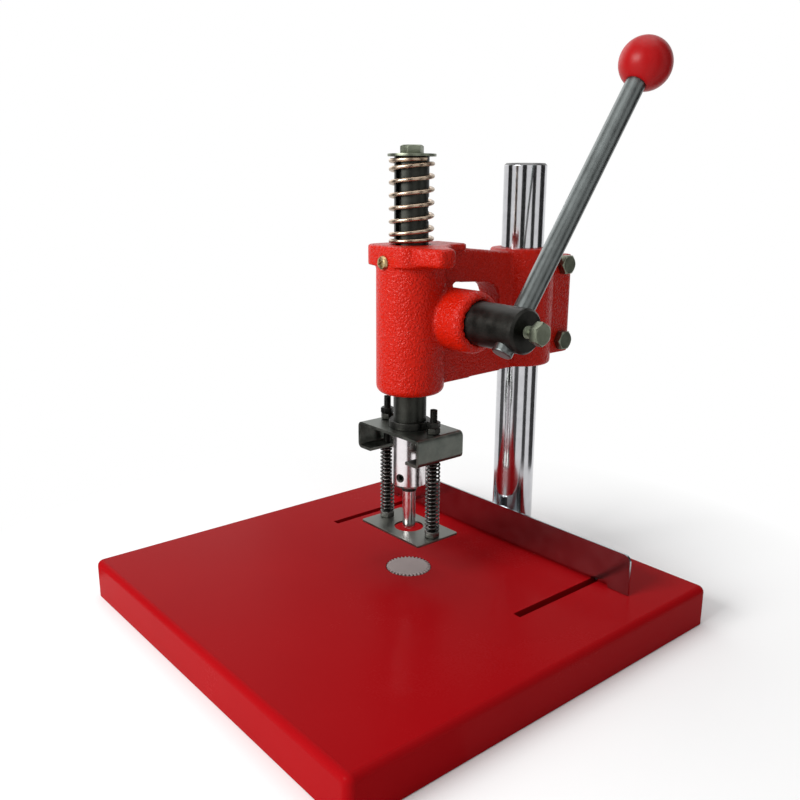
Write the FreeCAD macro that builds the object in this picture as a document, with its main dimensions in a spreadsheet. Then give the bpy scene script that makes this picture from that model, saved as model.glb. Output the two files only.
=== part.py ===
import FreeCAD, Part
import math
import os

import Sketcher
from FreeCAD import Placement, Rotation, Vector

# Manual paper drill: a pan-shaped base, a round column, a cast head clamped on the column, and a
# ram that a lever drives down through a rack and pinion. The ram carries a hollow bit and a
# spring-loaded stripper plate. Millimetres, +Z up, +Y to the back, operator in front at -Y,
# lever on the right at +X. The floor is Z = 0. Everything is drawn at rest: lever back, ram up.

DRIVING = [
    ("base_width", 300, "left to right"),
    ("base_depth", 300, "front to back"),
    ("base_height", 27, "floor to table top"),
    ("base_centre_y", -8.6, "middle of the base, front to back"),
    ("base_wall", 6, "side walls and table of the pan"),
    ("base_corner", 5, "radius of the upright corners"),
    ("base_edge", 4.5, "radius round the table"),
    ("rib_width", 5, "ribs under the table"),
    ("rib_height", 14, "ribs under the table, from the table top"),
    ("rib_forward", 62, "cross rib in front of the ram axis"),
    ("column_inset", 30, "column axis to the back edge of the base"),
    ("throat", 105, "ram axis to column axis"),
    ("column_diameter", 30, "ground bar"),
    ("column_top", 274, "top of the column over the table"),
    ("column_socket", 14, "depth of the socket in the base"),
    ("column_chamfer", 1.5, "top edge"),
    ("column_boss", 52, "boss under the table"),
    ("boss_floor", 11, "underside of the bosses over the floor"),
    ("socket_bolt", 12, "bolt that holds the column from below"),
    ("socket_bolt_length", 22, "under the head"),
    ("socket_bolt_hex", 18, "across flats"),
    ("socket_bolt_head", 7.5, "head thickness"),
    ("socket_washer", 26, "diameter"),
    ("socket_washer_thick", 2, "thickness"),
    ("slot_width", 5.6, "fence slots in the table"),
    ("slot_x", 96, "slot to the middle plane"),
    ("slot_front", 6.5, "front end of the slots behind the ram axis"),
    ("slot_back", 117, "back end of the slots behind the ram axis"),
    ("pad_diameter", 31, "cutting pad over its teeth"),
    ("pad_teeth", 40, "serrations round the pad"),
    ("pad_tooth", 1, "depth of the serrations"),
    ("pad_thick", 9, "cutting pad"),
    ("pad_boss", 42, "boss under the pad"),
    ("pad_gap", 0.4, "round and under the pad"),
    ("fence_length", 250, "left to right"),
    ("fence_tall", 28, "over the table"),
    ("fence_sheet", 1.5, "steel sheet"),
    ("fence_y", 81, "front face behind the ram axis"),
    ("fence_corner", 5, "top corners"),
    ("fence_bend", 2.5, "inside radius of the bend"),
    ("fence_flange", 22, "depth of the foot flange"),
    ("fence_flange_length", 218, "left to right"),
    ("fence_notch", 36, "notch in the flange for the column"),
    ("fence_notch_depth", 17, "from the back edge of the flange"),
    ("slide_gap", 0.3, "under the fence and its bolt heads"),
    ("fence_bolt", 5, "thread diameter"),
    ("fence_bolt_hex", 8, "across flats"),
    ("fence_bolt_head", 3.5, "head thickness"),
    ("fence_bolt_back", 12.75, "bolts behind the front face of the fence"),
    ("fence_bolt_length", 20, "under the head"),
    ("thumb_nut", 15, "diameter of the knurled nuts"),
    ("thumb_nut_tall", 9, "height"),
    ("head_bottom", 126.5, "underside of the barrel over the table"),
    ("barrel_diameter", 45, "barrel round the ram"),
    ("barrel_length", 96.3, "underside to spring seat"),
    ("barrel_edge", 5, "radius of the lower edge"),
    ("collar_half", 23, "half width of the block at the top of the barrel"),
    ("collar_tall", 13, "its height"),
    ("crest_tall", 4.5, "height of the crest"),
    ("collar_back", 20, "its back behind the ram axis"),
    ("collar_corner", 11, "radius of its front corners"),
    ("crest_half", 15, "half width of the crest over the arm"),
    ("crest_back", 36, "its back behind the ram axis"),
    ("arm_half", 10, "half thickness of the arm"),
    ("arm_low", 3, "lower edge at the barrel, over the barrel's underside"),
    ("arm_low_hub", 6.5, "lower edge at the hub"),
    ("arm_drop", 4, "upper edge under the spring seat"),
    ("arm_level", 6, "level part of the upper edge behind the crest"),
    ("arm_high_hub", 85.7, "upper edge at the hub, over the barrel's underside"),
    ("arm_edge", 3, "radius along the arm and at the crest's corners"),
    ("window_front", 28, "window in the arm, behind the ram axis"),
    ("window_back", 72.5, "window in the arm, behind the ram axis"),
    ("window_low", 40, "over the barrel's underside"),
    ("window_high", 71, "upper edge at the front, over the barrel's underside"),
    ("window_high_back", 68, "upper edge at the back"),
    ("window_corner", 12, "radius of its two back corners"),
    ("window_corner_low", 9, "radius of its lower front corner"),
    ("window_corner_top", 3, "radius of its upper front corner"),
    ("hub_diameter", 46, "clamp hub round the column"),
    ("hub_low", 6.7, "underside over the barrel's underside"),
    ("hub_tall", 83, "height"),
    ("hub_edge", 2, "radius of the upper and lower rim of hub and ears"),
    ("ear_half", 12, "half width over both clamp ears"),
    ("ear_reach", 45, "back of the ears behind the column axis"),
    ("ear_corner", 7, "radius"),
    ("clamp_slit", 3, "saw cut through hub and ears"),
    ("clamp_bolt", 8, "thread diameter"),
    ("clamp_bolt_back", 32.5, "bolts behind the column axis"),
    ("clamp_bolt_low", 20.7, "over the barrel's underside"),
    ("clamp_bolt_high", 76.5, "over the barrel's underside"),
    ("clamp_hex", 13, "across flats of bolt heads and nuts"),
    ("clamp_head", 5.5, "bolt head thickness"),
    ("clamp_nut", 6.5, "nut thickness"),
    ("thread_past", 2, "clamp bolts past their nuts"),
    ("bolt_clearance", 0.4, "holes over the bolts that pass through them"),
    ("past", 1, "how far a cut runs past the face that it opens"),
    ("running_fit", 0.05, "radial clearance of sliding and turning fits"),
    ("gear_module", 2, "rack and pinion"),
    ("gear_teeth", 12, "teeth of the pinion"),
    ("gear_backlash", 0.3, "play between the flanks"),
    ("pressure_angle", 20, "degrees"),
    ("rack_addendum", 1.4, "short rack teeth, so that they clear the pinion's roots"),
    ("gear_dedendum", 2.5, "pitch line to roots"),
    ("rack_line", 8, "pitch line of the rack behind the ram axis"),
    ("rack_gaps", 15, "tooth gaps in the rack"),
    ("rack_start", 2, "gaps under the pinion axis at rest"),
    ("pinion_high", 49, "pinion axis over the barrel's underside"),
    ("boss_diameter", 40, "pinion boss"),
    ("boss_right", 44, "right face of the boss"),
    ("boss_left", 25, "left face of the boss"),
    ("boss_edge", 2, "radius"),
    ("gear_half", 12, "half length of the pinion teeth"),
    ("journal_diameter", 16, "left end of the pinion shaft"),
    ("journal_end", 5, "journal past the left face of the boss"),
    ("journal_gap", 0.4, "end play of the shaft"),
    ("ring_groove", 14, "groove diameter for the retaining ring"),
    ("ring_diameter", 22, "retaining ring"),
    ("ring_mouth", 12, "gap of the retaining ring"),
    ("ring_thick", 1.2, "retaining ring"),
    ("shaft_right", 83, "right end of the pinion shaft"),
    ("shaft_chamfer", 1.5, "right end"),
    ("lever_x", 72, "lever axis to the middle plane"),
    ("lever_diameter", 13, "lever rod"),
    ("lever_lean", 35.6, "degrees behind upright"),
    ("lever_reach", 196.3, "shaft axis to ball centre"),
    ("lever_stub", 17.5, "rod past the shaft axis, below"),
    ("ball_diameter", 34.4, "knob"),
    ("ball_flat", 15.5, "ball centre to the flat where the rod enters"),
    ("ball_socket", 6, "rod stops short of the ball centre"),
    ("lever_bolt", 8, "axial clamp bolt in the shaft end"),
    ("lever_bolt_hex", 13, "across flats"),
    ("lever_bolt_head", 5.5, "head thickness"),
    ("lever_bolt_stand", 7, "shaft end to the head"),
    ("ram_diameter", 22, "ram"),
    ("ram_top", 276.5, "top of the ram over the table"),
    ("keyway", 5.2, "keyway in the front of the ram"),
    ("keyway_depth", 3, "depth"),
    ("keyway_low", 5, "foot of the keyway under the screw at rest"),
    ("key_screw", 5, "screw in the front of the barrel"),
    ("key_screw_tip", 4.4, "dog point in the keyway"),
    ("key_screw_head", 9, "head diameter"),
    ("key_screw_crown", 6.3, "flat on top of the head"),
    ("key_screw_head_tall", 2.6, "head height"),
    ("key_screw_down", 10.5, "under the spring seat"),
    ("key_screw_entry", 2, "tip in the keyway"),
    ("key_screw_clear", 0.5, "shank short of the ram"),
    ("top_washer", 30.5, "spring cap washer"),
    ("top_washer_thick", 1.6, "thickness"),
    ("top_bolt", 8, "bolt in the ram's top"),
    ("top_bolt_hex", 13, "across flats"),
    ("top_bolt_head", 5.3, "head thickness"),
    ("top_bolt_length", 20, "under the head"),
    ("return_wire", 2.6, "return spring wire"),
    ("return_diameter", 29, "over the wire"),
    ("return_turns", 5, "open turns"),
    ("return_end_pitch", 4.4, "pitch of the end turns"),
    ("bracket_top", 102.5, "top of the bracket over the table"),
    ("bracket_half", 31.3, "half width"),
    ("bracket_deep", 39, "front to back"),
    ("bracket_tall", 18.5, "height"),
    ("bracket_sheet", 2, "sheet"),
    ("bracket_lip", 13, "lips turned in"),
    ("bracket_bend", 1.5, "inside radius of the bends"),
    ("collar_ring", 28, "locking collar over the bracket"),
    ("collar_ring_tall", 5, "its height"),
    ("spigot", 12, "lower end of the ram, through bracket and collar"),
    ("spigot_length", 26, "under the bracket's top"),
    ("chuck_diameter", 24, "bit holder"),
    ("chuck_bottom", 61, "over the table"),
    ("chuck_chamfer", 2, "lower edge"),
    ("set_screw", 6, "screw that holds the bit"),
    ("set_screw_high", 7.7, "over the chuck's lower face"),
    ("set_screw_recess", 1.2, "screw end under the chuck's surface"),
    ("bit_shank", 8, "diameter in the chuck"),
    ("bit_shank_length", 14, "depth in the chuck"),
    ("bit_ring", 10, "shoulder"),
    ("bit_ring_tall", 4, "shoulder"),
    ("bit_diameter", 9, "barrel of the bit"),
    ("bit_tip", 29.3, "cutting edge over the table"),
    ("bit_cone", 1.2, "taper of the cutting end"),
    ("bit_mouth", 6, "diameter at the cutting edge"),
    ("bit_bore", 3, "hole that the bit cuts"),
    ("rod_x", 23.7, "guide rods to the ram axis"),
    ("rod_diameter", 5, "guide rods"),
    ("rod_top", 118.5, "tops of the guide rods over the table"),
    ("rod_hole_gap", 0.3, "round the rods in the bracket"),
    ("rod_nut_hex", 8, "across flats"),
    ("rod_nut_tall", 4, "thickness"),
    ("rod_nuts", 2, "nuts on each rod over the bracket"),
    ("foot_nut_hex", 9, "across flats of the nuts on the plate"),
    ("foot_nut_tall", 4.5, "thickness"),
    ("plate_high", 30.5, "top of the stripper plate over the table"),
    ("plate_width", 60, "left to right"),
    ("plate_deep", 36, "front to back"),
    ("plate_sheet", 1.5, "sheet"),
    ("plate_corner", 1.5, "corners"),
    ("plate_hole", 20, "hole round the bit"),
    ("stripper_wire", 1.3, "stripper spring wire"),
    ("stripper_diameter", 10, "over the wire"),
    ("stripper_turns", 16, "open turns"),
    ("stripper_end_pitch", 1.9, "pitch of the end turns"),
    ("spring_seat_gap", 0.2, "between a spring's end and its seat"),
    ("nut_gap", 0.3, "under the nuts that rest on the bracket"),
]

document = FreeCAD.newDocument("PaperDrill")
sheet = document.addObject("Spreadsheet::Sheet", "Sizes")
for row, (alias, number, note) in enumerate(DRIVING, start=1):
    sheet.set("A%d" % row, alias)
    sheet.set("B%d" % row, str(number))
    sheet.set("C%d" % row, note)
    sheet.setAlias("B%d" % row, alias)
document.recompute()


class Size:
    """A number together with the expression on the sheet that gives it."""

    def __init__(self, text, number):
        self.text = text
        self.number = number

    def __add__(self, other):
        return joined(self, "+", other, lambda a, b: a + b)

    def __radd__(self, other):
        return joined(other, "+", self, lambda a, b: a + b)

    def __sub__(self, other):
        return joined(self, "-", other, lambda a, b: a - b)

    def __rsub__(self, other):
        return joined(other, "-", self, lambda a, b: a - b)

    def __mul__(self, other):
        return joined(self, "*", other, lambda a, b: a * b)

    def __rmul__(self, other):
        return joined(other, "*", self, lambda a, b: a * b)

    def __truediv__(self, other):
        return joined(self, "/", other, lambda a, b: a / b)

    def __neg__(self):
        return joined(0, "-", self, lambda a, b: a - b)


def size(value):
    """Any number as a Size."""
    return value if isinstance(value, Size) else Size(repr(float(value)), float(value))


def joined(first, sign, second, work):
    first, second = size(first), size(second)
    text = "(%s %s %s)" % (first.text, sign, second.text)
    return Size(text, work(first.number, second.number))


class Sheet:
    """The driving sizes by name: D.base_width, and so on."""

    def __getattr__(self, alias):
        return Size("Sizes.%s" % alias, float(sheet.get(alias)))


D = Sheet()


def bind(thing, path, value):
    """Ties one property of an object to the sheet."""
    value = size(value)
    thing.setExpression(path, value.text)


# Levels and places that several pieces share.
TABLE = D.base_height
HEAD_Z = TABLE + D.head_bottom
SEAT_Z = HEAD_Z + D.barrel_length
COLUMN_Y = D.base_centre_y + D.base_depth / 2 - D.column_inset
RAM_Y = COLUMN_Y - D.throat
KEY_SCREW_HIGH = D.barrel_length - D.key_screw_down
GEAR_RADIUS = D.gear_module * D.gear_teeth / 2
PINION_DIAMETER = (D.gear_teeth + 2) * D.gear_module
PINION_Y = RAM_Y + D.rack_line + GEAR_RADIUS
PINION_Z = HEAD_Z + D.pinion_high
BRACKET_Z = TABLE + D.bracket_top
LIP_Z = BRACKET_Z - D.bracket_tall
PLATE_Z = TABLE + D.plate_high
FOOT_Z = PLATE_Z + D.foot_nut_tall
RAM_TOP_Z = TABLE + D.ram_top
FENCE_Y = RAM_Y + D.fence_y
FLANGE_Z = TABLE + D.slide_gap + D.fence_sheet
RACK_TIP = D.rack_line + D.rack_addendum
RACK_ROOT = D.rack_line - D.gear_dedendum
RACK_PITCH = D.gear_module * math.pi
TAN_PRESSURE = math.tan(math.radians(D.pressure_angle.number))


def new_body(label, x=0, y=0, z=0, turn=None):
    """A body whose own origin stands at x, y, z."""
    body = document.addObject("PartDesign::Body", label)
    body.Label = label
    if turn is not None:
        body.Placement = Placement(Vector(0, 0, 0), turn)
    for axis, value in zip("xyz", (x, y, z)):
        bind(body, "Placement.Base.%s" % axis, value)
    return body


def new_sketch(body, name, plane, offset=None):
    """A sketch on one of the body's origin planes, moved along that plane's normal."""
    sketch = body.newObject("Sketcher::SketchObject", name)
    for feature in body.Origin.OriginFeatures:
        if feature.Role == plane + "_Plane":
            sketch.AttachmentSupport = [(feature, "")]
    sketch.MapMode = "FlatFace"
    if offset is not None:
        bind(sketch, "AttachmentOffset.Base.z", offset)
    return sketch


def hold_along(sketch, kind, geometry, vertex, value):
    """Holds one coordinate of a point of the sketch."""
    value = size(value)
    constraint = Sketcher.Constraint(kind, -1, 1, geometry, vertex, value.number)
    bind(sketch, "Constraints[%d]" % sketch.addConstraint(constraint), value)


def hold(sketch, geometry, vertex, x, y):
    """Holds a point of the sketch at x, y from the sketch's origin."""
    hold_along(sketch, "DistanceX", geometry, vertex, x)
    hold_along(sketch, "DistanceY", geometry, vertex, y)


def outline(sketch, corners):
    """A closed outline of straight lines through corners."""
    points = [Vector(size(x).number, size(y).number, 0) for x, y in corners]
    first = sketch.GeometryCount
    for start, end in zip(points, points[1:] + points[:1]):
        sketch.addGeometry(Part.LineSegment(start, end))
    count = len(corners)
    for i, (x, y) in enumerate(corners):
        after = first + (i + 1) % count
        sketch.addConstraint(Sketcher.Constraint("Coincident", first + i, 2, after, 1))
        hold(sketch, first + i, 1, x, y)
    return sketch


def box(sketch, x0, x1, y0, y1):
    return outline(sketch, [(x0, y0), (x1, y0), (x1, y1), (x0, y1)])


def circle(sketch, x, y, diameter):
    """A circle held by its centre and its diameter."""
    diameter = size(diameter)
    centre = Vector(size(x).number, size(y).number, 0)
    geometry = sketch.addGeometry(Part.Circle(centre, Vector(0, 0, 1), diameter.number / 2))
    hold(sketch, geometry, 3, x, y)
    constraint = Sketcher.Constraint("Diameter", geometry, diameter.number)
    bind(sketch, "Constraints[%d]" % sketch.addConstraint(constraint), diameter)
    return sketch


def hexagon(sketch, x, y, across_flats, turned=False):
    """A hexagon with corners on the sketch's X axis, or on its Y axis when turned."""
    radius = across_flats / math.sqrt(3)
    start = 90 if turned else 0
    corners = []
    for step in range(6):
        angle = math.radians(start + 60 * step)
        corners.append((x + radius * math.cos(angle), y + radius * math.sin(angle)))
    return outline(sketch, corners)


def pad(body, name, sketch, length, both_ways=False, backwards=False):
    feature = body.newObject("PartDesign::Pad", name)
    feature.Profile = sketch
    bind(feature, "Length", length)
    feature.Midplane = both_ways
    feature.Reversed = backwards
    return feature


def volume(body):
    document.recompute()
    return body.Shape.Volume


def checked_cut(body, feature, before):
    """A cut that removes nothing points the wrong way."""
    if volume(body) > before - 0.01:
        raise ValueError("%s cuts nothing" % feature.Name)
    return feature


def pocket(body, name, sketch, length=None, both_ways=False, backwards=False):
    """A pocket of some depth, or through everything, along or against the sketch's normal."""
    before = volume(body)
    feature = body.newObject("PartDesign::Pocket", name)
    feature.Profile = sketch
    if length is None:
        feature.Type = "ThroughAll"
    else:
        feature.Type = "Length"
        bind(feature, "Length", length)
    feature.Midplane = both_ways
    feature.Reversed = backwards
    return checked_cut(body, feature, before)


def revolve(body, name, corners, plane="XZ"):
    """A turned piece: corners are radius and height round the body's own Z axis."""
    sketch = outline(new_sketch(body, name + "_profile", plane), corners)
    feature = body.newObject("PartDesign::Revolution", name)
    feature.Profile = sketch
    feature.ReferenceAxis = (sketch, ["V_Axis"])
    feature.Angle = 360
    return feature


def rounded(body, name, radius, chosen, kind="Fillet"):
    """Rounds or chamfers the edges of the body that chosen picks."""
    document.recompute()
    base = body.Tip
    names = [
        "Edge%d" % number
        for number, edge in enumerate(base.Shape.Edges, start=1)
        if chosen(edge)
    ]
    if not names:
        raise ValueError("%s finds no edge" % name)
    feature = body.newObject("PartDesign::" + kind, name)
    feature.Base = (base, names)
    bind(feature, "Radius" if kind == "Fillet" else "Size", radius)
    return feature


def spans(edge, axis):
    """How far an edge reaches along one axis."""
    bounds = edge.BoundBox
    return getattr(bounds, axis + "Max") - getattr(bounds, axis + "Min")


def middle(edge, axis):
    bounds = edge.BoundBox
    return (getattr(bounds, axis + "Max") + getattr(bounds, axis + "Min")) / 2


def near(value, target, within=0.01):
    return abs(value - size(target).number) < within


def upright(edge):
    """A straight edge along Z."""
    return spans(edge, "X") < 0.01 and spans(edge, "Y") < 0.01


def group(label, bodies):
    """Separate equal pieces kept as one sub-part."""
    compound = document.addObject("Part::Compound", label)
    compound.Links = bodies
    compound.Label = label
    return compound


def bolt(label, thread, length, across_flats, head, x, y, z, turn=None, turned=False):
    """A hexagon bolt: its head's seat is at the body's origin, the shank points down."""
    body = new_body(label, x, y, z, turn)
    flats = hexagon(new_sketch(body, label + "_hex", "XY"), 0, 0, across_flats, turned)
    pad(body, label + "_head", flats, head)
    shank = circle(new_sketch(body, label + "_round", "XY"), 0, 0, thread)
    pad(body, label + "_shank", shank, length, backwards=True)
    return body


def nut(label, bore, across_flats, tall, x, y, z, turn=None, turned=False):
    body = new_body(label, x, y, z, turn)
    sketch = hexagon(new_sketch(body, label + "_hex", "XY"), 0, 0, across_flats, turned)
    circle(sketch, 0, 0, bore)
    pad(body, label + "_nut", sketch, tall)
    return body


def washer(label, bore, diameter, thick, x, y, z, turn=None):
    body = new_body(label, x, y, z, turn)
    sketch = circle(new_sketch(body, label + "_rings", "XY"), 0, 0, diameter)
    circle(sketch, 0, 0, bore)
    pad(body, label + "_washer", sketch, thick)
    return body


TO_RIGHT = Rotation(Vector(0, 1, 0), 90)
TO_LEFT = Rotation(Vector(0, 1, 0), -90)
UPSIDE_DOWN = Rotation(Vector(1, 0, 0), 180)
TO_FRONT = Rotation(Vector(1, 0, 0), 90)


def base_pan():
    """Cast pan with a flat table, two bosses and ribs underneath, and two fence slots."""
    body = new_body("base_pan", 0, D.base_centre_y, 0)
    ram = RAM_Y - D.base_centre_y
    column = ram + D.throat
    half_width, half_depth = D.base_width / 2, D.base_depth / 2
    plan = box(new_sketch(body, "plan", "XY"), -half_width, half_width, -half_depth, half_depth)
    pad(body, "block", plan, D.base_height)
    rounded(body, "upright_corners", D.base_corner, upright)
    rounded(body, "table_edge", D.base_edge, lambda e: near(e.BoundBox.ZMin, D.base_height))
    inner_width, inner_depth = half_width - D.base_wall, half_depth - D.base_wall
    under = D.base_height - D.base_wall
    hollow = box(new_sketch(body, "hollow", "XY"), -inner_width, inner_width, -inner_depth, inner_depth)
    pocket(body, "underside", hollow, under, backwards=True)
    for name, y, diameter in (("column_boss", column, D.column_boss), ("pad_boss", ram, D.pad_boss)):
        ring = circle(new_sketch(body, name + "_round", "XY", D.boss_floor), 0, y, diameter)
        pad(body, name, ring, under - D.boss_floor)
    rib_half = D.rib_width / 2
    rib_low = D.base_height - D.rib_height
    keel = box(new_sketch(body, "keel_plan", "XY", rib_low), -rib_half, rib_half, -inner_depth, inner_depth)
    pad(body, "keel", keel, under - rib_low)
    rib_y = ram - D.rib_forward
    cross = box(new_sketch(body, "rib_plan", "XY", rib_low),
                -inner_width, inner_width, rib_y - rib_half, rib_y + rib_half)
    pad(body, "cross_rib", cross, under - rib_low)
    fit = D.running_fit * 2
    socket = circle(new_sketch(body, "socket_round", "XY", D.base_height),
                    0, column, D.column_diameter + fit)
    pocket(body, "column_socket", socket, D.column_socket)
    bolt_bore = D.socket_bolt + D.bolt_clearance
    hole = circle(new_sketch(body, "bolt_round", "XY", D.base_height), 0, column, bolt_bore)
    pocket(body, "bolt_hole", hole)
    recess = D.pad_diameter + D.pad_gap * 2
    seat = circle(new_sketch(body, "pad_round", "XY", D.base_height), 0, ram, recess)
    pocket(body, "pad_seat", seat, D.pad_thick + D.pad_gap)
    for name, side in (("left", -1), ("right", 1)):
        x = D.slot_x * side
        half = D.slot_width / 2
        front, back = ram + D.slot_front, ram + D.slot_back
        slot = box(new_sketch(body, name + "_slot_plan", "XY", D.base_height),
                   x - half, x + half, front, back)
        pocket(body, name + "_slot", slot, D.base_wall + D.past)
    return body


def column():
    """Ground bar, chamfered at the top, bored for its bolt at the foot."""
    foot = TABLE - D.column_socket
    body = new_body("column", 0, COLUMN_Y, foot)
    radius, tall = D.column_diameter / 2, D.column_top + D.column_socket
    chamfer = D.column_chamfer
    drill, depth = D.socket_bolt / 2, D.socket_bolt_length
    revolve(body, "bar", [
        (drill, 0), (radius - chamfer, 0), (radius, chamfer), (radius, tall - chamfer),
        (radius - chamfer, tall), (0, tall), (0, depth), (drill, depth),
    ])
    return body


def column_fixing():
    """Bolt and washer that pull the column down into its socket."""
    seat = D.boss_floor
    washer("column_washer", D.socket_bolt, D.socket_washer, D.socket_washer_thick,
           0, COLUMN_Y, seat - D.socket_washer_thick)
    bolt("column_bolt", D.socket_bolt, D.socket_bolt_length, D.socket_bolt_hex, D.socket_bolt_head,
         0, COLUMN_Y, seat - D.socket_washer_thick, UPSIDE_DOWN)


def cutting_pad():
    """Round nylon block with a serrated rim, turned by a finger to a fresh place."""
    body = new_body("cutting_pad", 0, RAM_Y, TABLE - D.pad_thick)
    radius = D.pad_diameter / 2
    teeth = int(D.pad_teeth.number)
    corners = []
    for number in range(teeth):
        tip = math.radians(360.0 * number / teeth)
        root = math.radians(360.0 * (number + 0.5) / teeth)
        corners.append((radius * math.cos(tip), radius * math.sin(tip)))
        inner = radius - D.pad_tooth
        corners.append((inner * math.cos(root), inner * math.sin(root)))
    pad(body, "serrated_disc", outline(new_sketch(body, "serrations", "XY"), corners), D.pad_thick)
    return body


def fence():
    """Bent sheet: a straight wall with a foot flange to the back, notched for the column."""
    body = new_body("fence", 0, FENCE_Y, TABLE + D.slide_gap)
    sheet_thick, inside = D.fence_sheet, D.fence_bend
    half = D.fence_length / 2
    tall = D.fence_tall - D.slide_gap
    wall = box(new_sketch(body, "wall_face", "XZ"), -half, half, 0, tall)
    pad(body, "wall", wall, sheet_thick, backwards=True)
    foot_half = D.fence_flange_length / 2
    outside = inside + sheet_thick
    under_bend = box(new_sketch(body, "bend_relief", "XZ"), -foot_half, foot_half, 0, outside)
    pocket(body, "relief", under_bend)
    section = new_sketch(body, "foot_section", "YZ")
    bend_section(section, sheet_thick, inside, D.fence_flange)
    pad(body, "foot", section, D.fence_flange_length, both_ways=True)
    notch_half = D.fence_notch / 2
    back = D.fence_flange
    notch = box(new_sketch(body, "notch_plan", "XY", sheet_thick + D.past),
                -notch_half, notch_half, back - D.fence_notch_depth, back + D.past)
    pocket(body, "column_notch", notch, sheet_thick + D.past * 2)
    holes = new_sketch(body, "bolt_holes", "XY", sheet_thick + D.past)
    for side in (-1, 1):
        circle(holes, D.slot_x * side, D.fence_bolt_back, D.fence_bolt + D.bolt_clearance)
    pocket(body, "foot_holes", holes, sheet_thick + D.past * 2)
    rounded(body, "top_corners", D.fence_corner, lambda e: spans(e, "X") < 0.01 and spans(e, "Z") < 0.01
            and near(e.BoundBox.ZMin, tall, 0.05) and near(abs(middle(e, "X")), half))
    return body


def bend_section(sketch, thick, inside, reach):
    """Section of a flange that turns from upright to flat: two arcs and straight sides."""
    outside = inside + thick
    centre = Vector(outside.number, outside.number, 0)
    around = Vector(0, 0, 1)
    left, down = math.pi, math.pi * 3 / 2
    big, small = [
        sketch.addGeometry(Part.ArcOfCircle(Part.Circle(centre, around, r.number), left, down))
        for r in (outside, inside)
    ]
    ends = [
        ((0, outside), (thick, outside)), ((outside, 0), (reach, 0)),
        ((reach, 0), (reach, thick)), ((reach, thick), (outside, thick)),
    ]
    lines = []
    for start, end in ends:
        a = Vector(size(start[0]).number, size(start[1]).number, 0)
        b = Vector(size(end[0]).number, size(end[1]).number, 0)
        lines.append(sketch.addGeometry(Part.LineSegment(a, b)))
    joints = [
        (lines[0], 1, big, 1), (lines[0], 2, small, 1), (lines[1], 1, big, 2),
        (lines[1], 2, lines[2], 1), (lines[2], 2, lines[3], 1), (lines[3], 2, small, 2),
    ]
    for first, end_a, second, end_b in joints:
        sketch.addConstraint(Sketcher.Constraint("Coincident", first, end_a, second, end_b))
    hold(sketch, big, 3, outside, outside)
    hold(sketch, small, 3, outside, outside)
    hold(sketch, lines[0], 1, 0, outside)
    hold(sketch, lines[0], 2, thick, outside)
    hold(sketch, lines[2], 1, reach, 0)
    hold(sketch, lines[2], 2, reach, thick)
    hold_along(sketch, "DistanceX", lines[1], 1, outside)
    hold_along(sketch, "DistanceX", lines[3], 2, outside)


def fence_fixings():
    """Bolts up through the slots, and knurled nuts on the flange."""
    bolts, nuts = [], []
    y = FENCE_Y + D.fence_bolt_back
    under = TABLE - D.base_wall - D.slide_gap
    for name, side in (("left", -1), ("right", 1)):
        x = D.slot_x * side
        bolts.append(bolt(name + "_fence_bolt", D.fence_bolt, D.fence_bolt_length, D.fence_bolt_hex,
                          D.fence_bolt_head, x, y, under, UPSIDE_DOWN))
        thumb = new_body(name + "_thumb_nut", x, y, FLANGE_Z)
        ring = circle(new_sketch(thumb, name + "_thumb_round", "XY"), 0, 0, D.thumb_nut)
        circle(ring, 0, 0, D.fence_bolt)
        pad(thumb, name + "_thumb", ring, D.thumb_nut_tall)
        nuts.append(thumb)
    group("fence_bolts", bolts)
    group("fence_nuts", nuts)


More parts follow.
